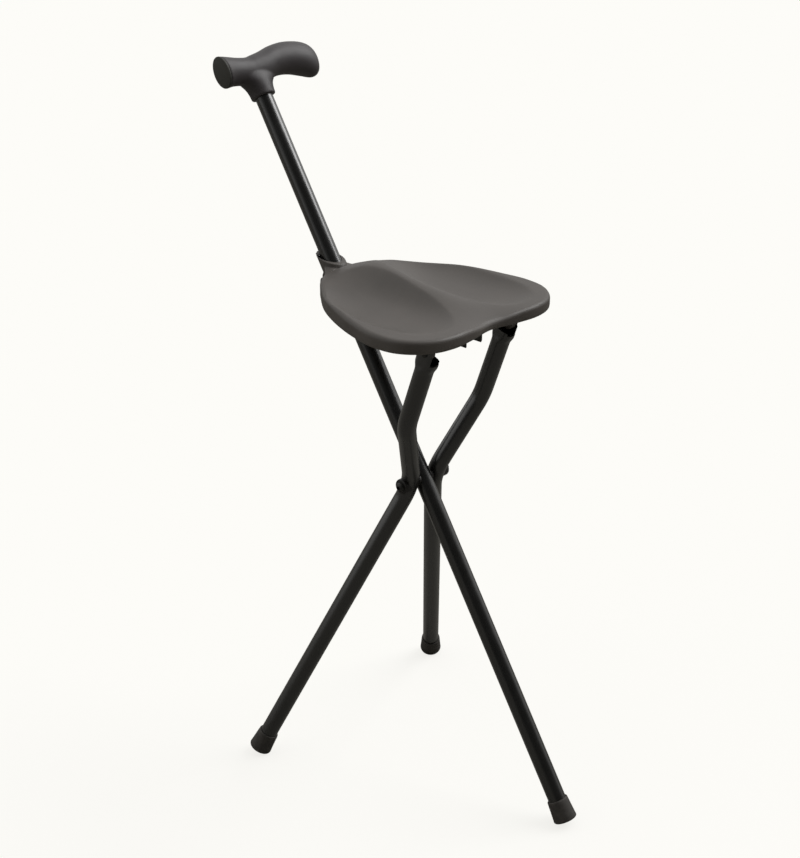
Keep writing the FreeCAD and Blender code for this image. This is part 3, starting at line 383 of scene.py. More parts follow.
def closed_spline(points, count):
    """Evenly spaced points on a smooth closed curve through the given ones."""
    points = np.array(points, float)
    last = len(points)
    fine = []
    for i in range(last):
        p0, p1, p2, p3 = (points[(i + k) % last] for k in (-1, 0, 1, 2))
        d01, d12, d23 = (max(np.linalg.norm(b - a), 1e-6) for a, b in ((p0, p1), (p1, p2), (p2, p3)))
        out = (p1 - p0) / d01 - (p2 - p0) / (d01 + d12) + (p2 - p1) / d12
        back = (p2 - p1) / d12 - (p3 - p1) / (d12 + d23) + (p3 - p2) / d23
        for step in np.linspace(0, 1, 24, endpoint=False):
            a, b = 2 * step ** 3 - 3 * step ** 2 + 1, step ** 3 - 2 * step ** 2 + step
            c, d = 3 * step ** 2 - 2 * step ** 3, step ** 3 - step ** 2
            fine.append(a * p1 + b * d12 * out + c * p2 + d * d12 * back)
    fine = np.array(fine + [fine[0]])
    run = np.concatenate([[0], np.cumsum(np.linalg.norm(np.diff(fine, axis=0), axis=1))])
    marks = np.linspace(0, run[-1], count, endpoint=False)
    return np.stack([np.interp(marks, run, fine[:, i]) for i in (0, 1)], axis=1)


def seat_curve(count=288):
    right = [(SEAT_REAR + share * SEAT_LONG, part * SEAT_HALF) for share, part in OUTLINE]
    left = [(x, -y) for x, y in reversed(right[:-1])]
    back = [(SEAT_REAR, share * REAR_HALF) for share in (-0.98, -0.6, -0.2, 0.2, 0.6, 0.98)]
    return closed_spline(back + right + left, count)


print("seat outline, mm", np.ptp(seat_curve(), axis=0).round(1).tolist())

# %% [markdown]
# The top could be sculpted, but a height written as a function of the place stays true to the
# solid and can be tuned against the picture. It adds up the rim's climb, the ridge as a bell curve
# across the seat, and on each side a hollow that is a rounded oblong, turned a little outward.

# %% The seat's height
RIM_TOP, RIM_BOTTOM, RIM_ROLL, WALL, DISH = 8.7, -5.3, 5.0, 3.0, 9.5
RIDGE = [  # share of the length, height over the rim, half width
    (0.0, 4.6, 40.0), (0.1, 9.8, 42.0), (0.2, 13.6, 42.0), (0.32, 12.8, 34.0), (0.46, 9.5, 26.0),
    (0.65, 6.5, 23.0), (0.82, 2.2, 27.0), (0.96, -5.0, 34.0)]
RIM_RISE = [
    (0.0, 0.8), (0.08, 3.5), (0.18, 6.2), (0.3, 6.4), (0.45, 4.6), (0.6, 2.6), (0.72, 1.6), (0.86, 0.6),
    (0.95, 0.0)]
HOLLOW = {"along": 0.52, "across": 0.45, "long": 0.41, "wide": 0.395, "turn": 8.5, "square": 2.3,
          "soft": 0.001, "steep": 3}


def rim_rise(x):
    """How far the rim climbs towards the back of both sides."""
    return eased(RIM_RISE, (x - SEAT_REAR) / SEAT_LONG, 1)


def seat_height(x, y):
    """Height of the seat's top over the hinge line."""
    share = (x - SEAT_REAR) / SEAT_LONG
    ridge = eased(RIDGE, share, 1) * exp(-(y / eased(RIDGE, share, 2)) ** 2)
    turn = radians(HOLLOW["turn"])
    ahead = x - SEAT_REAR - HOLLOW["along"] * SEAT_LONG
    aside = abs(y) - HOLLOW["across"] * SEAT_HALF
    long_part = (ahead * cos(turn) + aside * sin(turn)) / (HOLLOW["long"] * SEAT_LONG)
    wide_part = (aside * cos(turn) - ahead * sin(turn)) / (HOLLOW["wide"] * SEAT_HALF)
    square = HOLLOW["square"]
    inside = 1 - (abs(long_part) ** square + abs(wide_part) ** square) ** (1 / square)
    inside = min(1.0, (inside + sqrt(inside ** 2 + HOLLOW["soft"])) / 2)
    return RIM_TOP + rim_rise(x) + ridge - DISH * (1 - (1 - inside) ** HOLLOW["steep"])


print("seat height, middle", round(seat_height(*SEAT_MIDDLE), 1),
      "hollow", round(seat_height(SEAT_MIDDLE[0], SEAT_HALF / 2), 1))

# %% [markdown]
# The skin runs in rings from the middle out, over the rim, and back underneath at the wall's
# thickness, so it is one closed shell. The rim's lower edge climbs a little with the top.

# %% The seat's shell
RIM_FOLLOW = 0.35
EDGE_BAND = 16.0


def edge_and_inward():
    """The seat's outline, and at each point of it the way to the inside."""
    edge = seat_curve()
    ahead = np.roll(edge, -1, axis=0) - np.roll(edge, 1, axis=0)
    inward = np.stack([ahead[:, 1], -ahead[:, 0]], axis=1)
    inward /= np.linalg.norm(inward, axis=1)[:, None]
    if np.dot(inward[0], SEAT_MIDDLE - edge[0]) < 0:
        inward = -inward
    return edge, inward


def seat_rings():
    edge, inward = edge_and_inward()
    inner = edge + inward * EDGE_BAND
    rings = []

    def ring(spots, height):
        rings.append([(x, y, height(x, y)) for x, y in spots])

    for share in np.linspace(0.0, 1.0, 66)[1:]:
        ring(SEAT_MIDDLE + (inner - SEAT_MIDDLE) * share, seat_height)
    for inset in (13.5, 11.0, 9.0, 7.0, RIM_ROLL):
        ring(edge + inward * inset, seat_height)
    for angle in np.linspace(0, pi / 2, 9)[1:]:
        inset = RIM_ROLL * (1 - sin(angle))
        drop = RIM_ROLL * (1 - cos(angle))
        ring(edge + inward * inset, lambda x, y, d=drop: seat_height(x, y) - d)
    for inset, level in ((0.02, 0.0), (0.02, -2.6), (0.25, -4.2), (0.9, -5.0), (1.6, RIM_BOTTOM),
                         (2.4, -5.1), (WALL, -4.4)):
        ring(edge + inward * inset, lambda x, y, z=level: z + RIM_FOLLOW * rim_rise(x))
    for inset, under in ((WALL, 7.0), (WALL + 0.8, 4.2), (WALL + 3.5, WALL), (13.0, WALL)):
        ring(edge + inward * inset, lambda x, y, d=under: seat_height(x, y) - d)
    for share in np.linspace(1.0, 0.0, 16)[:-1]:
        ring(SEAT_MIDDLE + (inner - SEAT_MIDDLE) * share, lambda x, y: seat_height(x, y) - WALL)
    return rings


seat = skin("seat_shell_skin", seat_rings())

# %% [markdown]
# The collar sits in a notch in the rear edge. The notch is cut round the hinge line and round the
# stick, so that the collar clears it while the seat folds.

# %% The notch for the collar
BARREL, SLEEVE, COLLAR_HALF, KNUCKLE_IN, KNUCKLE_OUT, PASSING = 12.5, 14.0, 14.0, 17.6, 24.0, 0.3
notch_half = COLLAR_HALF + PASSING
notch_round = SLEEVE + PASSING + 0.4
stick_way = Vector((-sin(LEAN), 0, cos(LEAN)))
cut(seat, rod("notch", notch_round, (0, -notch_half, 0), (0, notch_half, 0), 96),
    rod("notch_up", notch_round, (0, 0, 0), stick_way * 100, 96))
dress(seat, SEAT, SEAT_PLASTIC, "seat", ["seat_shell"], 40)

# %% [markdown]
# Underneath, the shell is stiffened by ribs and carries what takes the load: a lug over each leg,
# two hinge knuckles at the rear edge and two posts for the screws of the clip. On the real seat
# they are moulded in one with the shell, so they have its finish. Each is a plain outline given its
# thickness, with its top tucked into the shell.

# %% The ribs
RIB, RIB_LOW, LUG_ROUND, LUG_HALF, LUG_WIDTH, HIP = 2.4, -2.3, 7.5, 6.4, 6.5, 59.5
seat_drop = pi / 2 - 2 * LEAN - LEG_LEAN
hip_x, hip_z = LEG_REACH * cos(seat_drop), -LEG_REACH * sin(seat_drop)


def tucked(x, y):
    """Where the top of a rib, lug or post ends, just inside the shell."""
    return seat_height(x, y) - WALL + 1.0


def along_rib(aside, start, end):
    """A rib that runs front to back."""
    places = np.linspace(start, end, 24)
    top = [(x, tucked(x, aside)) for x in places]
    low = [(x, RIB_LOW + RIM_FOLLOW * rim_rise(x)) for x in places[::-1]]
    return slab("rib", top + low, aside - RIB / 2, aside + RIB / 2)


def cross_rib(along, start, end):
    """A rib that runs from side to side."""
    places = np.linspace(start, end, 24)
    top = [(y, tucked(along, y)) for y in places]
    low = RIB_LOW + RIM_FOLLOW * rim_rise(along)
    return slab("rib", top + [(end, low), (start, low)], along - RIB / 2, along + RIB / 2, 0)


def reach_at(coordinate, axis, sign):
    """How far the outline reaches on one side of a line across the seat, less the wall."""
    near = [p[1 - axis] * sign for p in seat_curve() if abs(p[axis] - coordinate) < 4.0]
    return max(near) - WALL + 0.5


channel = notch_half + PASSING + RIB / 2
pieces = []
for sign in (-1, 1):
    pieces.append(along_rib(sign * channel, 9.0, reach_at(sign * channel, 1, 1)))
    for aside in (HIP - LUG_HALF - RIB / 2, HIP + LUG_HALF + RIB / 2):
        rear = -reach_at(sign * aside, 1, -1)
        pieces.append(along_rib(sign * aside, rear, reach_at(sign * aside, 1, 1)))
    for along in (hip_x - LUG_ROUND - RIB / 2, hip_x + LUG_ROUND + RIB / 2, hip_x / 2):
        ends = sorted((sign * channel, sign * reach_at(along, 0, sign)))
        pieces.append(cross_rib(along, *ends))
ribs = pieces[0]
cut(ribs, *pieces[1:], operation="UNION")
edge, inward = edge_and_inward()
cut(ribs, slab("inside", edge + inward * (WALL - 0.5), -30, 60, 2), operation="INTERSECT")
dress(ribs, SEAT, SEAT_PLASTIC, "seat")

# %% Lugs and knuckles
KNUCKLE, SHANK = 5.0, 2.5
for name, sign in SIDES:
    start, end = sorted((sign * (HIP + LUG_HALF - LUG_WIDTH), sign * (HIP + LUG_HALF)))
    low = arc((hip_x, hip_z), LUG_ROUND, pi, 2 * pi, 25)
    top = tucked(hip_x, sign * HIP)
    lug = slab(f"{name}_lug", low + [(hip_x + LUG_ROUND, top), (hip_x - LUG_ROUND, top)], start, end)
    cut(lug, rod("pin_hole", SHANK + 0.05, (hip_x, start - 5, hip_z), (hip_x, end + 5, hip_z)))
    dress(bevelled(lug, 0.6), SEAT, SEAT_PLASTIC, "seat")
    ends = sorted((sign * (KNUCKLE_IN + PASSING), sign * KNUCKLE_OUT))
    back = arc((0, 0), KNUCKLE, pi / 2, 3 * pi / 2, 21)
    knuckle = slab(f"{name}_knuckle", back + [(9.0, -KNUCKLE), (9.0, KNUCKLE)], *ends)
    dress(bevelled(knuckle, 0.5), SEAT, SEAT_PLASTIC, "seat")

# %% [markdown]
# The collar is a separate moulding: a sleeve round the stick with a bell mouth, a round body below
# it that turns on the hinge line, and two wings that meet the seat at an open line. Mouldings have
# a fillet wherever two shapes meet. Joining plain shapes, remeshing them finely and relaxing the
# result gives those fillets everywhere at once, and the bore is cut afterwards so it stays crisp.

# %% The slide collar
BORE, MOUTH, CROWN, CROWN_SLOPE = 10.3, 12.4, 20.3, radians(11.3)
WING_REACH, WING_ROOT, WING_BACK, WING_RISE, WING_THICK = 25.0, 14.0, 9.0, 4.3, 3.3


def moulded(piece, voxel, passes):
    """Remeshes a piece finely and relaxes it, which rounds every inside and outside corner."""
    shaped(piece, "REMESH", mode="VOXEL", voxel_size=voxel)
    return shaped(piece, "SMOOTH", factor=0.5, iterations=passes)


wing_low, wing_front = RIM_TOP - WING_THICK, SEAT_REAR - 0.6
section = [(-WING_REACH, wing_low), (WING_REACH, wing_low), (WING_REACH, RIM_TOP),
           (WING_ROOT, RIM_TOP + WING_RISE), (-WING_ROOT, RIM_TOP + WING_RISE),
           (-WING_REACH, RIM_TOP)]
collar = slab("slide_collar_moulding", section, -WING_BACK, wing_front, 0)
for sign in (-1, 1):
    corner = [(wing_front - 1, sign * (WING_REACH + 1)), (-WING_BACK - 1, sign * (WING_REACH + 1)),
              (-WING_BACK - 1, sign * (WING_ROOT - 2))]
    cut(collar, slab("trim", corner, -30, 60, 2))
cut(collar,
    rod("sleeve", SLEEVE, (0, 0, 0), stick_way * 44, 96),
    rod("barrel", BARREL, (0, -COLLAR_HALF, 0), (0, COLLAR_HALF, 0), 96),
    rod("knuckles", KNUCKLE, (0, -KNUCKLE_IN, 0), (0, KNUCKLE_IN, 0)),
    bar("web", (-KNUCKLE, -KNUCKLE_IN, 0), (KNUCKLE, KNUCKLE_IN, wing_low + 1)), operation="UNION")
middle = -CROWN * tan(LEAN)
crown = [(middle - 60, CROWN + 60 * tan(CROWN_SLOPE)),
         (middle + 60, CROWN - 60 * tan(CROWN_SLOPE)), (middle + 60, 90), (middle - 60, 90)]
cut(collar, slab("crown", crown, -60, 60))
moulded(collar, 0.7, 6)
mouth_low = stick_way * ((CROWN - 7.5) / cos(LEAN))
mouth = turned("mouth", [(0, 0), (BORE - 0.5, 0), (BORE + 0.6, 4), (MOUTH, 9), (MOUTH + 1.6, 16),
                         (0, 16)])
turn = stick_way.to_track_quat("Z", "Y").to_matrix().to_4x4()
mouth.data.transform(Matrix.Translation(mouth_low) @ turn)
cut(collar, rod("bore", BORE, stick_way * -60, stick_way * 60, 96), mouth)
dress(collar, SEAT, SEAT_PLASTIC, "collar", ["slide_collar"], 50)

for name, sign in SIDES:
    pin = turned(f"{name}_hinge_pin_steel", [(0, BORE + 1), (2, BORE + 1), (2, KNUCKLE_OUT - 0.4),
                                             (1.6, KNUCKLE_OUT), (0, KNUCKLE_OUT)], 32)
    dress(pin, SEAT @ sideways(sign), BLACK_STEEL, "seat", [f"{name}_hinge_pin"])

# %% [markdown]
# The stick is one straight tube and each leg is one tube bent twice in its own plane. A sweep of
# rings along the centre line follows the bender's work: straight, arc, straight, arc, straight. At
# the top of a leg the press has squeezed the tube to an oval and opened it into a fork for the
# seat's lug, so the ring changes shape there.

# %% The stick's tube
TUBE, TUBE_WALL, SADDLE_FACE = 10.0, 1.2, 34.6
GRIP_ALONG, SOCKET, START = 864.6, 30.0, 7.5
stick_end = GRIP_ALONG + SOCKET
stick = turned("stick_tube", [(TUBE, START), (TUBE, stick_end), (TUBE - TUBE_WALL, stick_end),
                              (TUBE - TUBE_WALL, START)], 96)
dress(stick, STICK, ENAMEL, "shaft_frame", ["main_shaft"], 50)

# %% The centre line of a leg
LOWER_SPLAY, UPPER_SPLAY, BEND = radians(19.8), radians(24.0), 57.0
LEG_GAP, FORK_ROUND, FORK_RINGS = 21.4, 8.0, 120.0
half_turn = (LOWER_SPLAY + UPPER_SPLAY) / 2
waist = LEG_GAP - BEND * (1 / cos(half_turn) - 1)
knee = (HIP - waist) / tan(UPPER_SPLAY)


def leg_line(side, leg_drop):
    """Centre line of a leg from foot to fork: places and headings in its own Y-Z plane."""
    corners = [Vector((waist + leg_drop * tan(LOWER_SPLAY), -leg_drop)),
               Vector((waist, 0)), Vector((HIP, knee)), Vector((HIP, LEG_REACH + FORK_ROUND))]
    ways = [(b - a).normalized() for a, b in zip(corners, corners[1:])]
    line = [(corners[0] + ways[0] * START, ways[0])]
    for i in (1, 2):
        before, after = ways[i - 1], ways[i]
        turn = before.angle(after)
        run = BEND * tan(turn / 2)
        start = corners[i] - before * run
        aside = Vector((-before.y, before.x))
        if aside.dot(after) < 0:
            aside = -aside
        centre = start + aside * BEND
        for step in np.linspace(0, 1, 15):
            angle = turn * step
            way = before * cos(angle) + aside * sin(angle)
            spot = centre - aside * BEND * cos(angle) + before * BEND * sin(angle)
            line.append((spot, way))
    for height in np.linspace(FORK_RINGS, LEG_REACH + FORK_ROUND, 36):
        line.append((Vector((HIP, height)), ways[2]))
    return [(Vector((0, side * p.x, p.y)), Vector((0, side * w.x, w.y))) for p, w in line]


# %% [markdown]
# The foot of a leg sits where its rubber meets the ground. The width of the ferrule and the lean of
# the leg tell how high its middle is, and so how far down the known lower straight it comes.

# %% How far down the legs go
FERRULE_BASE, FERRULE_TOP, FERRULE_HIGH, FERRULE_ROUND, CRUSH = 26.6, 23.4, 25.0, 2.0, 0.6


def lift_of(lean):
    """Height of a foot's middle over the ground, for its lean from upright."""
    flat = FERRULE_BASE / 2 - FERRULE_ROUND
    return flat * sin(lean) + FERRULE_ROUND * (1 - cos(lean)) - CRUSH


leg_lean_all = acos(cos(LOWER_SPLAY) * cos(LEG_LEAN))
leg_drop = (bolt_spot.z / MM - lift_of(leg_lean_all)) / cos(LEG_LEAN)
print("leg drop", round(leg_drop, 2), "lean of a leg", round(degrees(leg_lean_all), 2))

# %% The legs
FORK_X, FORK_Y, SLOT_HALF, FORK_LIP, FLARE_START, FLARE_LONG = 12.0, 8.5, 6.7, 7.5, 170.0, 10.0
CLEAR, OVER = 20.0, 230.0  # how far the cutting shapes reach aside and up
PIVOT_HOLE = 4.25


def oval_ring(centre, way, wide, deep, power, count=56):
    """A ring across a heading. Wide is its half size front to back, deep the other way."""
    front = Vector((1, 0, 0))
    aside = way.cross(front)
    ring = []
    for angle in round_angles(count):
        c, s = cos(angle), sin(angle)
        x = copysign(abs(c) ** (2 / power), c) * wide
        y = copysign(abs(s) ** (2 / power), s) * deep
        ring.append(centre + front * x + aside * y)
    return ring


def leg_rings(side):
    outer, inner = [], []
    for centre, way in leg_line(side, leg_drop):
        share = min(max((centre.z - FLARE_START) / FLARE_LONG, 0.0), 1.0)
        share = share * share * (3 - 2 * share)
        wide = TUBE + (FORK_X - TUBE) * share
        deep = TUBE + (FORK_Y - TUBE) * share
        power = 2.0 + 1.2 * share
        outer.append(oval_ring(centre, way, wide, deep, power))
        thick = TUBE_WALL + 0.5 * share
        inner.append(oval_ring(centre, way, wide - thick, deep - thick, power))
    return outer + inner[::-1]


for name, side in SIDES:
    leg = skin(f"{name}_leg_tube", leg_rings(side), loop=True)
    arch = arc((0, LEG_REACH), FORK_ROUND, pi, 0, 25)
    above = [(-CLEAR, LEG_REACH - 1)] + arch + [(CLEAR, LEG_REACH - 9), (CLEAR, OVER), (-CLEAR, OVER)]
    middle = side * HIP
    slot = [(-CLEAR, LEG_REACH - 7.6), (CLEAR, LEG_REACH - 11.4), (CLEAR, OVER), (-CLEAR, OVER)]
    lip = [(x, max(z, LEG_REACH - FORK_LIP)) for x, z in slot]
    inner_side = sorted((middle - side * CLEAR, middle - side * (SLOT_HALF - 0.2)))
    cut(leg, slab("arch", above, middle - CLEAR, middle + CLEAR),
        slab("slot", slot, middle - SLOT_HALF, middle + SLOT_HALF), slab("open_side", lip, *inner_side),
        rod("pin", SHANK, (0, middle - CLEAR, LEG_REACH), (0, middle + CLEAR, LEG_REACH)),
        rod("bush", PIVOT_HOLE, (0, side * 2, 0), (0, side * 40, 0)))
    dress(leg, LEG, ENAMEL, f"{name}_leg", [f"{name}_leg"], 40)

# %% [markdown]
# The feet are turned shapes: a taper, a rounded ground edge, a soft lip at the mouth that stands a
# little off the tube, and tread rings underneath. The lowest edge is pressed flat by the weight.

# %% The rubber feet
GROUND_BLOCK = 60 * MM
SNUG = TUBE + 0.02  # the radius of a hole that holds a tube


def foot_profile():
    base, top = FERRULE_BASE / 2, FERRULE_TOP / 2
    profile = [(0, 0.8)]
    for ring in (3.0, 6.0, 9.0):
        profile += [(ring, 0.8), (ring + 0.25, 0.0), (ring + 1.5, 0.0), (ring + 1.75, 0.8)]
    profile += arc((base - FERRULE_ROUND, FERRULE_ROUND), FERRULE_ROUND, -pi / 2, 0, 7)
    slope = (base - top) / FERRULE_HIGH
    for height in (8.0, 14.0, 19.0, 22.5):
        profile.append((base - slope * height, height))
    profile += arc((top - 1.1, FERRULE_HIGH - 1.1), 1.1, radians(10), radians(150), 6)
    return profile + [(TUBE + 0.3, 22.8), (SNUG, 20.5), (SNUG, 6.0), (0, 6.0)]


def press_flat(piece, place):
    """Cuts a foot off level with the ground."""
    ground = bar("ground", [-GROUND_BLOCK] * 3, (GROUND_BLOCK, GROUND_BLOCK, 0.0))
    spot = place.translation
    ground.data.transform(place.inverted() @ Matrix.Translation((spot.x, spot.y, 0)))
    return cut(piece, ground)


feet = {"front": (STICK, "shaft_frame")}
for name, side in SIDES:
    spot = LEG @ Vector((0, side * (waist + leg_drop * tan(LOWER_SPLAY)), -leg_drop))
    way = LEG.to_3x3() @ Vector((0, -side * sin(LOWER_SPLAY), cos(LOWER_SPLAY)))
    turn = way.normalized().to_track_quat("Z", "X").to_matrix().to_4x4()
    feet[name] = (Matrix.Translation(spot) @ turn @ Matrix.Scale(MM, 4), f"{name}_leg")
for name, (place, body) in feet.items():
    foot = turned(f"{name}_rubber_foot", foot_profile(), 96)
    press_flat(foot, place)
    dress(foot, place, RUBBER, body, [f"{name}_ferrule"], 40)
    disc = turned(f"{name}_steel_disc", [(0, 6.02), (9.6, 6.02), (9.9, 6.3), (9.9, 7.2),
                                         (9.6, 7.48), (0, 7.48)])
    dress(disc, place, ZINC, body, [f"{name}_foot_disc"])

# %% [markdown]
# One bolt carries both legs. Its head is a button with a hexagon socket and the other end has a
# dome nut. Turned profiles do for both, with the hexagons cut or drawn as six-sided rings.

# %% Cross bolt, nut and sleeve
def hexagon(name, across_flats, low, high):
    radius = across_flats / 2 / cos(pi / 6)
    return slab(name, [(radius * cos(a), radius * sin(a)) for a in round_angles(6)], low, high, 2)


BOLT, BOLT_HOLE, HEAD, HEAD_HIGH, NUT_HIGH = 3.0, 3.1, 5.5, 4.2, 5.2
outer_face = SADDLE_FACE + 0.05
dome = arc((0, outer_face + 0.8), (HEAD, HEAD_HIGH - 0.8), 0, pi / 2 - 0.35, 9)
head = turned("pivot_bolt_head", [(0, outer_face - 14), (BOLT, outer_face - 14),
                                  (BOLT, outer_face), (HEAD, outer_face)] + dome + [(0, dome[-1][1])])
cut(head, hexagon("socket", 4.0, outer_face + 1.6, outer_face + 8))
cut(head, rod("shank", BOLT, (0, 0, -(outer_face + NUT_HIGH - 2)), (0, 0, outer_face - 13.5)),
    operation="UNION")
dress(head, BOLT_ON_STICK @ sideways(-1), BLACK_STEEL, "shaft_frame", ["pivot_bolt"])

nut = hexagon("pivot_dome_nut", 10.0, outer_face, outer_face + 3.0)
cut(nut, turned("chamfer", [(5.3, outer_face - 1), (12, outer_face - 1), (12, outer_face + 3.2),
                            (5.05, outer_face + 3.2), (5.5, outer_face + 2.4),
                            (5.5, outer_face + 0.6)]))
cap = arc((0, outer_face + 2.6), (4.6, 2.6), 0, pi / 2, 9)
cut(nut, turned("cap", [(0, outer_face + 2.0), (4.6, outer_face + 2.0)] + cap, 48), operation="UNION")
cut(nut, rod("thread", 3.02, (0, 0, outer_face - 5), (0, 0, outer_face + NUT_HIGH - 1.9)))
dress(nut, BOLT_ON_STICK @ sideways(1), BLACK_STEEL, "shaft_frame", ["pivot_cap_nut"])

sleeve = turned("pivot_sleeve_steel", [(BOLT_HOLE, -7.6), (PIVOT_HOLE, -7.6), (PIVOT_HOLE, 7.6),
                                       (BOLT_HOLE, 7.6)], 48)
dress(sleeve, BOLT_ON_STICK @ sideways(-1), ZINC, "shaft_frame", ["pivot_sleeve"])

# %% [markdown]
# Outside each leg a shaped washer fills the hollow of the bend, so the bolt clamps on a flat face.
# The bend is part of a ring of tube, so a whole ring is drawn and cut away from the washer.

# %% Washers, bushes and spacers
skew = (UPPER_SPLAY - LOWER_SPLAY) / 2
waist_centre = waist + BEND / cos(half_turn) * cos(skew)
waist_drop = BEND / cos(half_turn) * sin(skew)


def bend_ring(side, radius):
    """The bend of a leg as a ring of tube, for hollowing what sits against it."""
    rings = []
    for angle in round_angles(96):
        way = Vector((0, cos(angle), sin(angle)))
        rings.append([way * (BEND + radius * cos(a)) + Vector((radius * sin(a), 0, 0))
                      for a in round_angles(48)])
    made = skin("bend", rings, loop=True)
    made.data.transform(Matrix.Translation((0, side * waist_centre, -waist_drop)))
    return made


for name, side in SIDES:
    face, rim = SADDLE_FACE, 8.8
    washer = turned(f"{name}_shaped_washer", [
        (BOLT_HOLE, 26.5), (rim, 26.5), (rim, face - 1.4), (rim - 0.4, face - 0.5),
        (rim - 1.3, face), (BOLT_HOLE, face)])
    washer.data.transform(sideways(side))
    cut(washer, bend_ring(side, SNUG))
    dress(washer, LEG, DARK_PLASTIC, f"{name}_leg", [f"{name}_saddle_washer"])
    bush = turned(f"{name}_nylon_bush", [(3.05, 12.4), (4.2, 12.4), (4.2, 30.4), (3.05, 30.4)], 48)
    dress(bush, LEG @ sideways(side), NYLON, f"{name}_leg", [f"{name}_leg_bush"])
    spacer = turned(f"{name}_inner_spacer", [(BOLT_HOLE, 5.0), (6.5, 5.0), (6.5, 10.9),
                                             (6.1, 11.34), (BOLT_HOLE, 11.34)])
    spacer.data.transform(sideways(side))
    cut(spacer, rod("stick", SNUG, (0, 0, -20), (0, 0, 20), 96))
    dress(spacer, BOLT_ON_STICK, DARK_PLASTIC, "shaft_frame", [f"{name}_spacer"])

# %% [markdown]
# Rivets hold the rest: one through the stick that the collar lands on, and one through each fork
# and lug. A rivet head is a low dome, so its profile is an arc.

# %% Rivets
RIVET_HEAD, RIVET_HIGH = 4.0, 1.8


def rivet(name, near, far):
    """A rivet along Z from near to far, with a dome at both ends."""
    dome = arc((0, 0.5), (RIVET_HEAD, RIVET_HIGH - 0.5), 0, pi / 2, 8)
    top = [(SHANK, far), (RIVET_HEAD, far)] + [(r, far + z) for r, z in dome]
    low = [(r, near - z) for r, z in reversed(dome)] + [(RIVET_HEAD, near), (SHANK, near)]
    return turned(name, low + top, 48)


stop_along = HINGE_ALONG - BARREL - RIVET_HEAD - 0.05
stop = rivet("stop_rivet_steel", -TUBE, TUBE)
dress(stop, STICK @ Matrix.Translation((0, 0, stop_along)) @ sideways(-1), BLACK_STEEL,
      "shaft_frame", ["stop_rivet"])
for name, side in SIDES:
    pin = rivet(f"{name}_seat_pin_steel", LUG_HALF - LUG_WIDTH - PASSING, FORK_Y)
    dress(pin, LEG @ Matrix.Translation((0, side * HIP, LEG_REACH)) @ sideways(side), BLACK_STEEL,
          f"{name}_leg", [f"{name}_seat_pin"])

# %% [markdown]
# The grip is a moulding with no flat side anywhere: a hammer-like nose, a dip over the stick, a
# palm swell that turns down at the end, and a neck that flares into it from below. Two lofts of
# ovals give the grip and the neck, and remeshing and relaxing them together gives their flowing
# joint. The nose is closed by a separate oval cap, as the line round it shows.

# %% The grip
GRIP = [
    (-1.0, 34.7, 17.8, 13.2), (-0.8, 34.4, 16.6, 12.4), (-0.45, 32.4, 15.6, 12.3),
    (-0.1, 31.3, 15.6, 12.8), (0.14, 33.4, 17.0, 13.8), (0.33, 38.2, 17.0, 14.6),
    (0.53, 39.2, 18.4, 15.0), (0.72, 36.4, 20.2, 15.0), (0.86, 33.0, 20.6, 13.6),
    (0.95, 31.8, 16.6, 10.4), (0.99, 31.6, 9.4, 6.0)]
NECK = [(0.0, 1.0, 1.0), (5.5, 1.04, 0.98), (12.5, 1.22, 0.97), (18.5, 1.6, 0.95),
        (27.0, 2.1, 0.88)]
NOSE, PALM, NECK_ROUND, CAP_THICK, SCREW_ALONG = 40.5, 93.5, 14.0, 2.5, GRIP_ALONG + 15


def grip_oval(share, shrink=0.0, shift=0.0):
    """The grip's section at a share of its nose or palm end, made smaller and moved along it."""
    place = share * (PALM if share > 0 else NOSE) + shift
    centre, high, wide = [eased(GRIP, share, column) for column in (1, 2, 3)]
    return [((wide - shrink) * sin(a), place, GRIP_ALONG + centre + (high - shrink) * cos(a))
            for a in round_angles(72)]


grip = skin("grip_moulding", [grip_oval(share) for share in np.linspace(-1, 0.99, 60)])
neck_rings = []
for rise in np.linspace(0, 27, 16):
    deep, wide = (eased(NECK, rise, column) * NECK_ROUND for column in (1, 2))
    neck_rings.append([(wide * cos(a), deep * sin(a), GRIP_ALONG + rise) for a in round_angles(72)])
cut(grip, skin("neck", neck_rings), operation="UNION")
moulded(grip, 1.1, 5)
cut(grip, rod("socket", SNUG, (0, 0, GRIP_ALONG - 5), (0, 0, stick_end), 96),
    skin("recess", [grip_oval(-1.0, 3.0, shift) for shift in (-3.0, 6.5)]),
    rod("screw_head", 4.0, (-24, 0, SCREW_ALONG), (-13.0, 0, SCREW_ALONG)))
dress(grip, STICK, GRIP_PLASTIC, "shaft_frame", ["handle"], 50)

# %% The nose cap and the grip's screw
cap_steps = ((6.0, 3.05), (0.02, 3.05), (0.02, 0.25), (-0.5, 0.0), (-1.8, 0.0), (-2.3, 0.3),
             (-CAP_THICK, 0.9))
nose_cap = skin("nose_cap_moulding", [grip_oval(-1.0, shrink, shift) for shift, shrink in cap_steps])
dress(nose_cap, STICK, CAP_PLASTIC, "shaft_frame", ["handle_cap"], 40)

screw = turned("grip_screw_steel", [(0, 0), (3.6, 0), (3.9, -0.5), (3.9, -1.5), (2, -1.5),
                                    (2, -6.5), (0, -8.5)], 48)
cross_slot(screw, 2.2, 0.45, -1, 1)
screw.data.transform(Matrix.Translation((-NECK_ROUND - 0.5, 0, SCREW_ALONG))
                     @ Matrix.Rotation(-pi / 2, 4, "Y"))
dress(screw, STICK, BLACK_STEEL, "shaft_frame", ["handle_screw"])

# %% [markdown]
# Under the front of the seat a clip waits for the stick: when the legs are folded the tube lies
# between its two prongs. From the photo's side only the prong tips show under the rim.

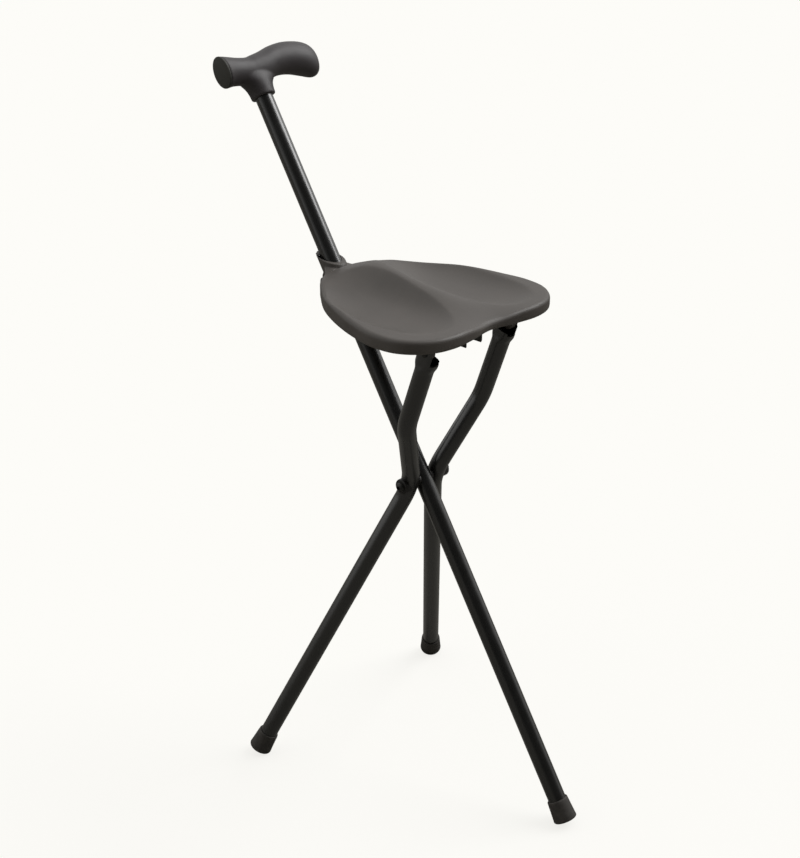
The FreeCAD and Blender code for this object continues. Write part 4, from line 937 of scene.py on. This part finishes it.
# %% The clip and its screws
CLIP_ALONG, CLIP_LONG, CLIP_GAP, CLIP_WALL, CLIP_PLATE, CLIP_TIP = 191.6, 26.0, 21.4, 2.6, 2.5, 27.0
CLIP_WIDE, SCREW_ASIDE, SCREW_HOLE = 12.0, 7.5, 1.52
clip_top = (-(CLIP_ALONG - CLIP_LONG / 2) * tan(seat_drop) + TUBE / cos(seat_drop)
            + PASSING + CLIP_PLATE)
half_gap = CLIP_GAP / 2
prong = [(half_gap + CLIP_WALL, clip_top), (half_gap + CLIP_WALL, 2 - CLIP_TIP),
         (half_gap + 1.4, -CLIP_TIP), (half_gap + 0.4, -CLIP_TIP), (half_gap, 1.6 - CLIP_TIP),
         (half_gap, clip_top - CLIP_PLATE)]
clip_section = prong + [(-y, z) for y, z in reversed(prong)]
clip = slab("spring_clip", clip_section, CLIP_ALONG - CLIP_WIDE / 2, CLIP_ALONG + CLIP_WIDE / 2, 0)
cut(clip, bar("plate", (CLIP_ALONG - CLIP_LONG / 2, -half_gap - CLIP_WALL, clip_top - CLIP_PLATE),
              (CLIP_ALONG + CLIP_LONG / 2, half_gap + CLIP_WALL, clip_top)), operation="UNION")
for sign in (-1, 1):
    x = CLIP_ALONG + sign * SCREW_ASIDE
    cut(clip, rod("hole", SCREW_HOLE, (x, 0, clip_top - 5), (x, 0, clip_top + 2)),
        rod("seat", 3.02, (x, 0, clip_top - 6), (x, 0, clip_top - 1.5)))
dress(bevelled(clip, 0.4, 2), SEAT, DARK_PLASTIC, "seat", ["shaft_clip"])
for name, sign in (("rear", -1), ("front", 1)):
    x = CLIP_ALONG + sign * SCREW_ASIDE
    top = tucked(x, 0)
    post = turned(f"{name}_screw_post", [(SCREW_HOLE, clip_top), (3.0, clip_top), (3.0, top),
                                         (SCREW_HOLE, top)], 40)
    dress(post, SEAT @ Matrix.Translation((x, 0, 0)), SEAT_PLASTIC, "seat")
    screw = turned(f"{name}_clip_screw", [(0, 0.4), (2.6, 0.25), (2.9, 0.5), (2.9, 1.0), (1.5, 1.0),
                                          (1.5, 8.5), (0, 9.7)], 40)
    cross_slot(screw, 1.6, 0.35, -1, 0.7)
    dress(screw, SEAT @ Matrix.Translation((x, 0, clip_top - CLIP_PLATE)), BLACK_STEEL, "seat",
          [f"clip_screw_{name}"])

# %% [markdown]
# The picture was taken in front of a white ground. The floor is nearly white to the camera and
# keeps a faint shadow. Light that bounces off it sees a mid grey, and a reflection in the enamel a
# darker one, because the real tubes have dark cores.

# %% The floor
FLOOR_HALF = 20.0  # in metres
FLOOR_GLOW = 0.82  # the share of plain white in what the camera sees


def pale_floor():
    finish, tree, _ = new_finish("pale_studio_floor")
    path = node(tree, "LightPath")
    seen = path.outputs["Is Camera Ray"]
    bounced = node(tree, "Mix", {"data_type": "RGBA", 6: linear("#9a978f"), 7: linear("#6c6a65")},
                   {0: path.outputs["Is Glossy Ray"]}).outputs[2]
    colour = node(tree, "Mix", {"data_type": "RGBA", 7: linear("#f9f8f5")},
                  {0: seen, 6: bounced}).outputs[2]
    glow = node(tree, "Emission", {"Color": linear("#fefdf9"), "Strength": 1.0})
    matt = node(tree, "BsdfDiffuse", {}, {"Color": colour})
    part = node(tree, "Math", {"operation": "MULTIPLY", 1: FLOOR_GLOW}, {0: seen}).outputs[0]
    shown(tree, "MixShader", {}, {0: part, 1: matt.outputs[0], 2: glow.outputs[0]})
    return finish


corners = [(x * FLOOR_HALF, y * FLOOR_HALF, 0) for x, y in ((-1, -1), (1, -1), (1, 1), (-1, 1))]
floor = raw_piece("studio_floor", corners, [(0, 1, 2, 3)])
floor.data.materials.append(pale_floor())

# %% [markdown]
# The world is white to the camera, and for everything else a soft room: brighter overhead, and dim
# on the photographer's side, which puts a dark core between two light edges on each tube. A wide
# soft sun shines from above the seat's right side. A sun lights every part of the floor alike, so
# the ground stays evenly pale.

# %% The world and the key light
DARK_WAY = (0.9, -0.44, 0.1)
SUN_AZIMUTH, SUN_ELEVATION, SUN_STRENGTH, SUN_SPREAD = 155, 45, 1.75, 40
world = bpy.data.worlds.new("white_studio")
bpy.context.scene.world = world
world.use_nodes = True
tree = world.node_tree
tree.nodes.clear()
path = node(tree, "LightPath")
seen = node(tree, "Math", {"operation": "MAXIMUM"},
            {0: path.outputs["Is Camera Ray"], 1: path.outputs["Is Transmission Ray"]}).outputs[0]
way = node(tree, "TexCoord").outputs["Generated"]
height = node(tree, "SeparateXYZ", {}, {0: way}).outputs["Z"]
photographer = node(tree, "VectorMath", {"operation": "DOT_PRODUCT", 1: DARK_WAY},
                    {0: way}).outputs["Value"]
overhead = ranged(tree, height, (-0.1, 0.9), (0.5, 0.8), interpolation_type="SMOOTHSTEP")
dark_side = ranged(tree, photographer, (-0.1, 0.75), (1.3, 0.08), interpolation_type="SMOOTHSTEP")
level = node(tree, "Math", {"operation": "MULTIPLY"}, {0: overhead, 1: dark_side}).outputs[0]
room = node(tree, "Background", {"Color": linear("#f6f6f4")}, {"Strength": level})
white = node(tree, "Background", {"Color": linear("#fefdf9"), "Strength": 1.0})
mix = node(tree, "MixShader", {}, {0: seen, 1: room.outputs[0], 2: white.outputs[0]})
node(tree, "OutputWorld", {}, {0: mix.outputs[0]})


def way_to(azimuth, elevation):
    """The way out to a lamp or camera, from angles in radians. Azimuth 0 is -Y, 90 degrees is +X."""
    flat = cos(elevation)
    return Vector((sin(azimuth) * flat, -cos(azimuth) * flat, sin(elevation)))


lamp = bpy.data.lights.new("key", "SUN")
lamp.energy, lamp.angle = SUN_STRENGTH, radians(SUN_SPREAD)
sun = bpy.data.objects.new("key", lamp)
sun_way = way_to(radians(SUN_AZIMUTH), radians(SUN_ELEVATION))
sun.rotation_euler = sun_way.to_track_quat("Z", "Y").to_euler()
bpy.context.scene.collection.objects.link(sun)

# %% [markdown]
# The camera stands where the photographer stood: in front and to one side, well above the seat.
# Its place and angles come from fitting the feet, the crossing and the tubes' edges. The focal
# length was found in pixels of the photo, whose longer side is the height.

# %% Camera
AZIMUTH, ELEVATION, ROLL = radians(43.85), radians(24.53), radians(0.15)
CAMERA_SPOT = (0.9686, -1.0187, 1.0441)
FOCAL_PIXELS, PHOTO_HIGH_PIXELS, SENSOR = 1404.1, 858, 36.0
camera_data = bpy.data.cameras.new("camera")
camera_data.sensor_width = SENSOR
camera_data.lens = FOCAL_PIXELS / PHOTO_HIGH_PIXELS * SENSOR
camera = bpy.data.objects.new("camera", camera_data)
bpy.context.scene.collection.objects.link(camera)
back = way_to(AZIMUTH, ELEVATION)
level = Vector((cos(AZIMUTH), sin(AZIMUTH), 0))
right = level * cos(ROLL) + back.cross(level) * sin(ROLL)
turn = Matrix((right, back.cross(right), back)).transposed()
camera.matrix_world = Matrix.Translation(CAMERA_SPOT) @ turn.to_4x4()
bpy.context.scene.camera = camera
bpy.context.scene.view_settings.view_transform = "Standard"
print("lens, mm", round(camera_data.lens, 2))

# %% Leftover parts and the check
for name, part in frame["nodes"].items():
    if not part.hide_render:
        print("still shown from the construction model:", name)
